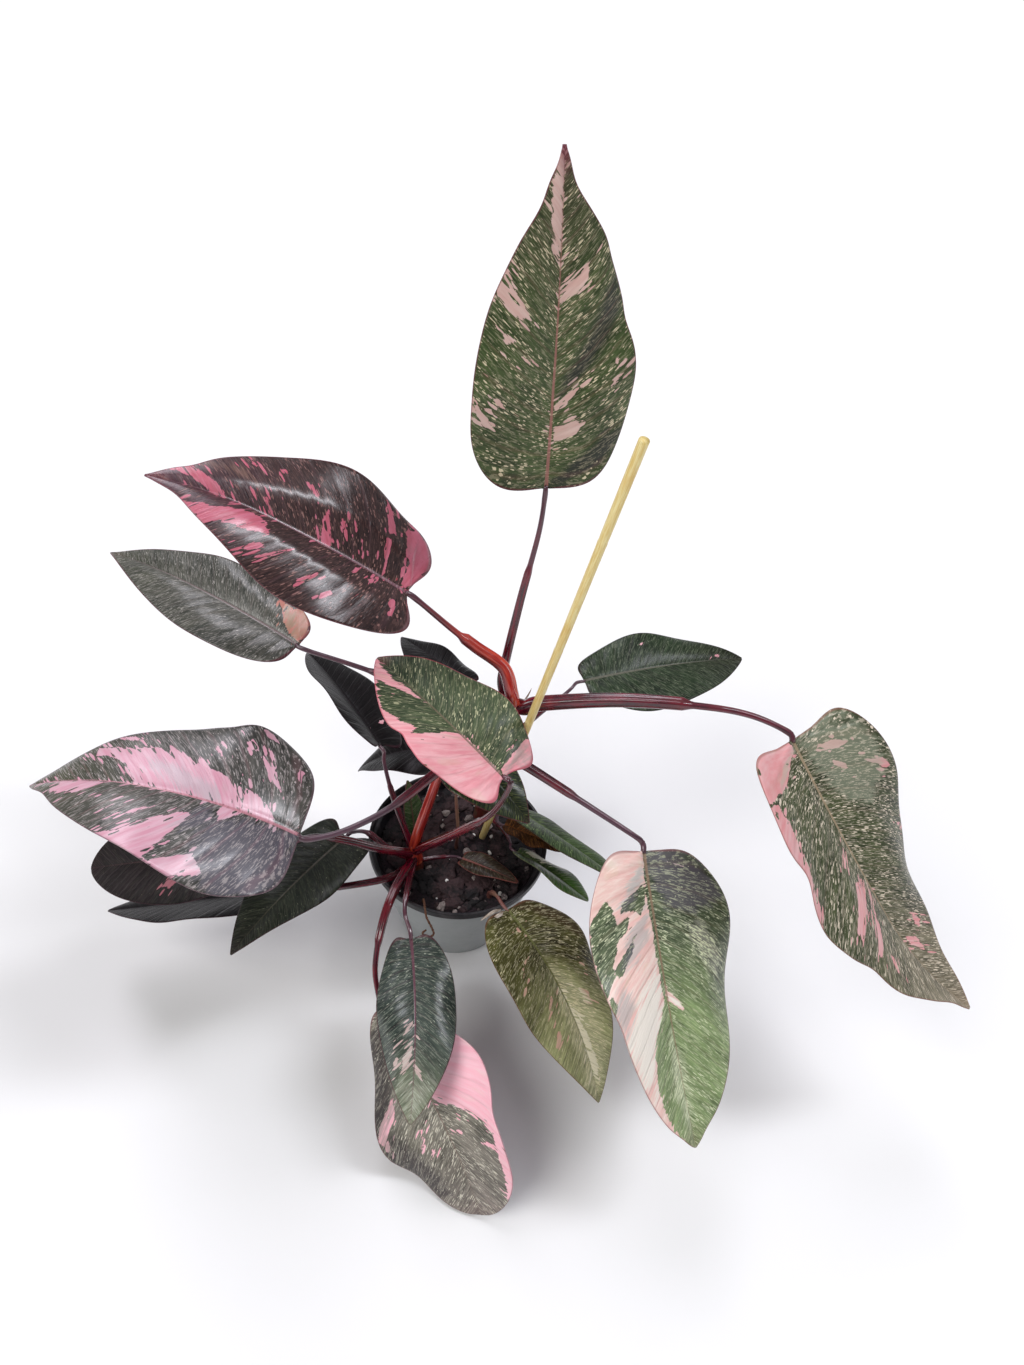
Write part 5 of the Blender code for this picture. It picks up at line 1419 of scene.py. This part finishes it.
def make_dry_sheaths():
    """Thin papery strips, pointed at their free end."""
    flatness, step, sides = 0.16, 0.5, 18
    material = skin_material("dry_sheath_skin")
    for number, (node, route, half_width) in enumerate(DRY_SHEATHS):
        places, shares = smooth_route(route, step)
        widths = half_width * np.sin(np.pi * (0.15 + 0.84 * shares)) ** 0.7

        def radius_at(ring, angle):
            return widths[ring] / np.sqrt((np.cos(angle) / flatness) ** 2 + np.sin(angle) ** 2)

        rings, angles = sweep(places, radius_at, np.array((0.0, -0.5, 1.0)), sides)
        strip = Merge()
        strip.add_tube(rings, stalk_place=(shares[:, None] * 14, np.sin(angles) * half_width, 7.0 * number))
        strip.make(f"dry_sheath_{number}", material, node)


# Pots and potting mix


def wall_radius(height):
    """Outer radius of the cover pot's straight taper at a height, in mm."""
    return POT_BASE_RADIUS + (POT_LIP_RADIUS - POT_BASE_RADIUS) * height / POT_HEIGHT


def nursery_radius(height):
    return wall_radius(height) - COVER_WALL - NURSERY_CLEARANCE


def rounded(corner, before, after, radius, steps=5):
    """A corner of a profile replaced by an arc-like curve of points."""
    corner, before, after = (np.array(point, float) for point in (corner, before, after))
    start = corner + unit(before - corner) * radius
    end = corner + unit(after - corner) * radius
    curve = np.linspace(0, 1, steps)
    return [tuple((1 - t) ** 2 * start + 2 * t * (1 - t) * corner + t * t * end) for t in curve]


def soft_profile(points, radii):
    """A profile with each corner rounded by its radius, ends kept."""
    profile = [points[0]]
    for before, corner, after, radius in zip(points, points[1:], points[2:], radii):
        profile += rounded(corner, before, after, radius)
    return [*profile, points[-1]]


def make_turned(name, profile, material, node):
    """A closed shell turned around Z from (radius, height) pairs; its ends lie on the axis."""
    profile = np.array(profile)
    inner = profile[1:-1, None, :]
    angles = np.linspace(0, 2 * np.pi, POT_STEPS + 1)[:-1]
    rings = np.stack([inner[..., 0] * np.cos(angles), inner[..., 0] * np.sin(angles),
                      inner[..., 1] + 0 * angles], -1)
    vertices = [*rings.reshape(-1, 3), (0, 0, profile[0][1]), (0, 0, profile[-1][1])]
    top, bottom, last = len(vertices) - 2, len(vertices) - 1, (len(rings) - 1) * POT_STEPS
    faces = tube_faces(len(rings), POT_STEPS)[:-2]
    for side in range(POT_STEPS):
        after = (side + 1) % POT_STEPS
        faces += [[top, after, side], [bottom, last + side, last + after]]
    shell = Merge()
    shell.add(vertices, [face[::-1] for face in faces])
    shell.make(name, material, node)


def cover_pot_material():
    """Grey-green moulded plastic with faint scuffs."""
    tree = Tree("cover_pot_skin")
    place = tree.position()
    scuffs = tree.noise(place, 220, 5, 0.7)
    color = tree.mix(tree.noise(place, 60, 4), (148, 154, 154), (170, 175, 174))
    color = tree.mix(tree.step(scuffs, 0.6, 0.72, 0.0, 0.35), color, (126, 130, 128))
    height = tree.times(tree.noise(place, 1400, 2), 0.5, scuffs)
    return tree.finish(color=color, roughness=tree.times(scuffs, 0.3, 0.3),
                       normal=tree.bump(height, 0.0002, 0.4))


def nursery_pot_material():
    """Thin black plastic with some dust."""
    tree = Tree("nursery_pot_skin")
    place = tree.position()
    dust = tree.noise(place, 90, 5, 0.65)
    color = tree.mix(tree.step(dust, 0.45, 0.75), (22, 21, 25), (62, 56, 58))
    return tree.finish(color=color, roughness=tree.times(dust, 0.35, 0.25),
                       normal=tree.bump(tree.noise(place, 1600, 2), 0.0001, 0.5))


def make_cover_pot():
    points = (
        (0, COVER_WALL),
        (wall_radius(COVER_WALL) - COVER_WALL, COVER_WALL),
        (wall_radius(COVER_HEIGHT) - COVER_WALL, COVER_HEIGHT),
        (wall_radius(COVER_HEIGHT), COVER_HEIGHT),
        (wall_radius(0), 0),
        (POT_BASE_RADIUS - FOOT_RING_INSETS[0], 0),
        (POT_BASE_RADIUS - FOOT_RING_INSETS[1], FOOT_HOLLOW),
        (0, FOOT_HOLLOW),
    )
    corners = (2, 0.6, 0.6, 2.0, 0.5, 0.5)
    make_turned("cover_pot_shell", soft_profile(points, corners), cover_pot_material(), "cover_pot")


def make_nursery_pot():
    foot = COVER_WALL + FLOOR_CLEARANCE
    lip_foot = POT_HEIGHT - LIP_DEPTH
    points = (
        (0, foot + NURSERY_WALL),
        (nursery_radius(foot) - NURSERY_WALL, foot + NURSERY_WALL),
        (nursery_radius(lip_foot) - NURSERY_WALL, lip_foot),
        (POT_LIP_RADIUS - LIP_WIDTHS[0], lip_foot + LIP_STEP),
        (POT_LIP_RADIUS - LIP_WIDTHS[1], POT_HEIGHT),
        (POT_LIP_RADIUS, POT_HEIGHT),
        (POT_LIP_RADIUS, lip_foot),
        (nursery_radius(lip_foot), lip_foot),
        (nursery_radius(foot), foot),
        (0, foot),
    )
    corners = (1, 1, 1, 0.6, 0.7, 0.4, 0.4, 1)
    make_turned("nursery_pot_shell", soft_profile(points, corners), nursery_pot_material(), "nursery_pot")


def mix_height(x, y):
    """Height of the potting mix at a place in mm: low bumps and crumbs over a level bed."""
    (bump, bump_width), (crumb, crumb_width) = MIX_BUMPS
    bumps = bump * noise.noise(Vector((x, y, 0)) / bump_width)
    return MIX_LEVEL + bumps + crumb * noise.noise(Vector((x, y, 7)) / crumb_width)


def bed_material():
    """Dark crumbs between the grains."""
    tree = Tree("mix_bed_skin")
    crumbs = tree.noise(tree.position(), 420, 6, 0.7)
    color = tree.mix(tree.step(crumbs, 0.35, 0.7), (13, 8, 11), (48, 31, 39))
    return tree.finish(color=color, roughness=0.95, normal=tree.bump(crumbs, 0.002))


def grain_material(name, dark, light, scale, roughness, relief):
    """Rough grains, some darker and some lighter."""
    tree = Tree(name)
    place = tree.position()
    grain = tree.noise(place, scale, 5, 0.65)
    tone = tree.stirred(grain, tree.noise(place, 45, 1), 1.6)
    color = tree.mix(tree.step(tone, 0.3, 0.7), dark, light)
    return tree.finish(color=color, roughness=roughness, normal=tree.bump(grain, relief, 0.9))


def make_bed(reach):
    """The mix between its grains: bumpy rings around the middle, over a flat underside."""
    vertices = [(0, 0, mix_height(0, 0))]
    for ring in [*range(1, BED_RINGS + 1), UNDERSIDE]:
        radius = reach * min(ring, BED_RINGS) / BED_RINGS
        for side in range(BED_SIDES):
            turn = 2 * math.pi * side / BED_SIDES
            x, y = radius * math.cos(turn), radius * math.sin(turn)
            drop = BED_EDGE_DROP if ring == BED_RINGS else 0
            height = MIX_LEVEL - BED_THICKNESS if ring == UNDERSIDE else mix_height(x, y) - drop
            vertices.append((x, y, height))
    index = np.arange((BED_RINGS + 1) * BED_SIDES).reshape(-1, BED_SIDES) + 1
    after = np.roll(index, -1, axis=1)
    fan = [[0, int(first), int(second)] for first, second in zip(index[0], after[0])]
    quads = np.stack([index[:-1], index[1:], after[1:], after[:-1]], -1).reshape(-1, 4)
    bed = Merge()
    bed.add(vertices, [*fan, *quads.tolist(), index[-1, ::-1].tolist()])
    bed.make("mix_bed", bed_material(), "potting_mix")


# Grains lying on the mix: how many, smallest and largest radius in mm, stretch, roughness of form, how
# deep they sit, and their colours, fineness, roughness and relief in metres.
Grain = namedtuple("Grain", "name count radius stretch rough sunk skin")
GRAINS = (
    Grain("mix_bark", 430, (1.8, 5.6), (1.25, 0.85, 0.5), 0.75, 0.3,
          ("bark_skin", (13, 8, 11), (62, 43, 45), 500, 0.8, 0.001)),
    Grain("mix_pumice", 100, (1.0, 3.0), (1.1, 0.95, 0.8), 0.55, 0.3,
          ("pumice_skin", (78, 68, 68), (160, 148, 144), 900, 0.95, 0.001)),
    Grain("mix_perlite", 60, (0.7, 1.7), (1.0, 0.95, 0.9), 0.4, 0.2,
          ("perlite_skin", (206, 202, 196), (244, 242, 238), 1200, 0.9, 0.0005)),
)


def lump(rng, radius, stretch, rough):
    """Vertices and faces of one rough grain around the origin, in mm."""
    bm = bmesh.new()
    bmesh.ops.create_icosphere(bm, subdivisions=2, radius=1.0)
    shift = Vector((rng.uniform(0, 50), rng.uniform(0, 50), rng.uniform(0, 50)))
    turn = Matrix.Rotation(rng.uniform(0, 6.3), 3, "Z") @ Matrix.Rotation(rng.uniform(-0.5, 0.5), 3, "X")
    points = []
    for vert in bm.verts:
        swell = 1 + rough * noise.noise(vert.co * 1.3 + shift)
        points.append(turn @ (vert.co * swell * Vector(stretch) * radius))
    faces = [[vert.index for vert in face.verts] for face in bm.faces]
    bm.free()
    return np.array([tuple(point) for point in points]), faces


def make_grains(rng, kind, reach):
    """Grains of one kind, spread at random over the mix but clear of what stands in it."""
    routes = (MAIN_STEM, SIDE_STEM, YOUNG_PETIOLE.route, FRONT_PETIOLE.route, AERIAL_ROOT)
    standing = [STAKE_FOOT[:2], *(np.array(route[0][:2], float) for route in routes)]
    grains = Merge()
    placed = 0
    while placed < kind.count:
        angle = rng.uniform(0, 2 * math.pi)
        radius = rng.uniform(*kind.radius) if rng.random() < LARGE_GRAIN_SHARE else kind.radius[0]
        away = (reach - radius) * math.sqrt(rng.random())
        spot = np.array([away * math.cos(angle), away * math.sin(angle)])
        if min(np.linalg.norm(spot - foot) for foot in standing) < radius + GRAIN_CLEARANCE:
            continue
        points, faces = lump(rng, radius, kind.stretch, kind.rough)
        height = mix_height(*spot) + radius * kind.stretch[2] * (1 - 2 * kind.sunk)
        grains.add(points + np.array([*spot, height]), faces)
        placed += 1
    grains.make(kind.name, grain_material(*kind.skin), "potting_mix", smooth=False)


def make_potting_mix():
    reach = nursery_radius(MIX_LEVEL) - NURSERY_WALL - MIX_CLEARANCE
    make_bed(reach)
    rng = random.Random(23)
    for kind in GRAINS:
        make_grains(rng, kind, reach)


# Stage

# Suns: name, the side they come from and their heights, in degrees, strength, spread in degrees and
# colour. A tall strip draws the gloss bands on the dark leaf, a window lights the plant from behind,
# and the front is lit softly.
SUNS = (
    ("strip", 15, (52, 60, 68), 0.42, 11, (0.93, 0.94, 1.0)),
    ("window", 115, (46, 62), 0.5, 22, (0.95, 0.92, 1.0)),
    ("front", -145, (48,), 1.5, 35, (1.0, 0.99, 0.97)),
)
SKY_COLOR = (0.96, 0.97, 1.0, 1.0)
SKY_STRENGTH = 0.27
FLOOR_HALF_WIDTH = 30_000
# Camera: its place in metres, its angles, and its focal length in pixels of the photo.
CAMERA_PLACE = (0.025, -0.422, 0.640)
CAMERA_PITCH = math.radians(44)
CAMERA_ROLL = math.radians(6)
FOCAL_PIXELS = 1027
PHOTO_HEIGHT = 1365
SENSOR_HEIGHT = 36.0


def make_floor():
    half = FLOOR_HALF_WIDTH
    corners = [(-half, -half, 0), (half, -half, 0), (half, half, 0), (-half, half, 0)]
    floor = make_mesh("floor", corners, [[0, 1, 2, 3]], {}, smooth=False)
    tree = Tree("floor_paint")
    color = tree.mix(tree.noise(tree.position(), 1.2, 2), (240, 240, 240), (246, 246, 246))
    floor.data.materials.append(tree.finish(color=color, roughness=0.9, specular=0.1))


def make_sky():
    sky = bpy.data.worlds.new("studio")
    bpy.context.scene.world = sky
    sky.use_nodes = True
    background = sky.node_tree.nodes["Background"]
    background.inputs["Color"].default_value = SKY_COLOR
    background.inputs["Strength"].default_value = SKY_STRENGTH


def add_sun(name, side, height, strength, spread, color):
    """Even light over plant and floor alike, soft-edged by its spread in degrees."""
    light = bpy.data.lights.new(name, "SUN")
    light.energy = strength
    light.angle = math.radians(spread)
    light.color = color
    side, height = math.radians(side), math.radians(height)
    place = Vector((math.cos(side) * math.cos(height), math.sin(side) * math.cos(height), math.sin(height)))
    obj = bpy.data.objects.new(name, light)
    obj.location = place
    obj.rotation_euler = (-place).to_track_quat("-Z", "Y").to_euler()
    bpy.context.scene.collection.objects.link(obj)


def make_camera():
    """The photo's camera, fitted to the pots' rim and taper."""
    level = Vector((1, 0, 0))
    raised = Vector((0, math.sin(CAMERA_PITCH), math.cos(CAMERA_PITCH)))
    right = math.cos(CAMERA_ROLL) * level + math.sin(CAMERA_ROLL) * raised
    up = -math.sin(CAMERA_ROLL) * level + math.cos(CAMERA_ROLL) * raised
    camera = bpy.data.cameras.new("camera")
    camera.sensor_fit = "VERTICAL"
    camera.sensor_height = SENSOR_HEIGHT
    camera.lens = SENSOR_HEIGHT * FOCAL_PIXELS / PHOTO_HEIGHT
    obj = bpy.data.objects.new("camera", camera)
    turn = Matrix((right, up, right.cross(up))).transposed().to_4x4()
    obj.matrix_world = Matrix.Translation(CAMERA_PLACE) @ turn
    bpy.context.scene.collection.objects.link(obj)
    bpy.context.scene.camera = obj


for leaf_name, leaf_form in LEAVES.items():
    make_blade(leaf_name, leaf_form)
stem_skins = (skin_material("stem_skin"), skin_material("bud_skin"), stalk_material())
make_stem("main_stem", "stem_main", MAIN_STEM, MAIN_STEM_RADII, MAIN_BUD_FROM, MAIN_PETIOLES, stem_skins)
make_stem("side_stem", "stem_side", SIDE_STEM, SIDE_STEM_RADII, SIDE_BUD_FROM, SIDE_PETIOLES, stem_skins)
make_single_stalk("stalk_young", YOUNG_PETIOLE)
make_single_stalk("stalk_front", FRONT_PETIOLE)
make_cover_pot()
make_nursery_pot()
make_potting_mix()
make_stake()
make_aerial_root()
make_dry_sheaths()
make_floor()
make_sky()
for sun_name, sun_side, sun_heights, *sun_light in SUNS:
    for number, sun_height in enumerate(sun_heights):
        add_sun(f"{sun_name}_{number}", sun_side, sun_height, *sun_light)
bpy.context.scene.view_settings.view_transform = "Standard"
make_camera()
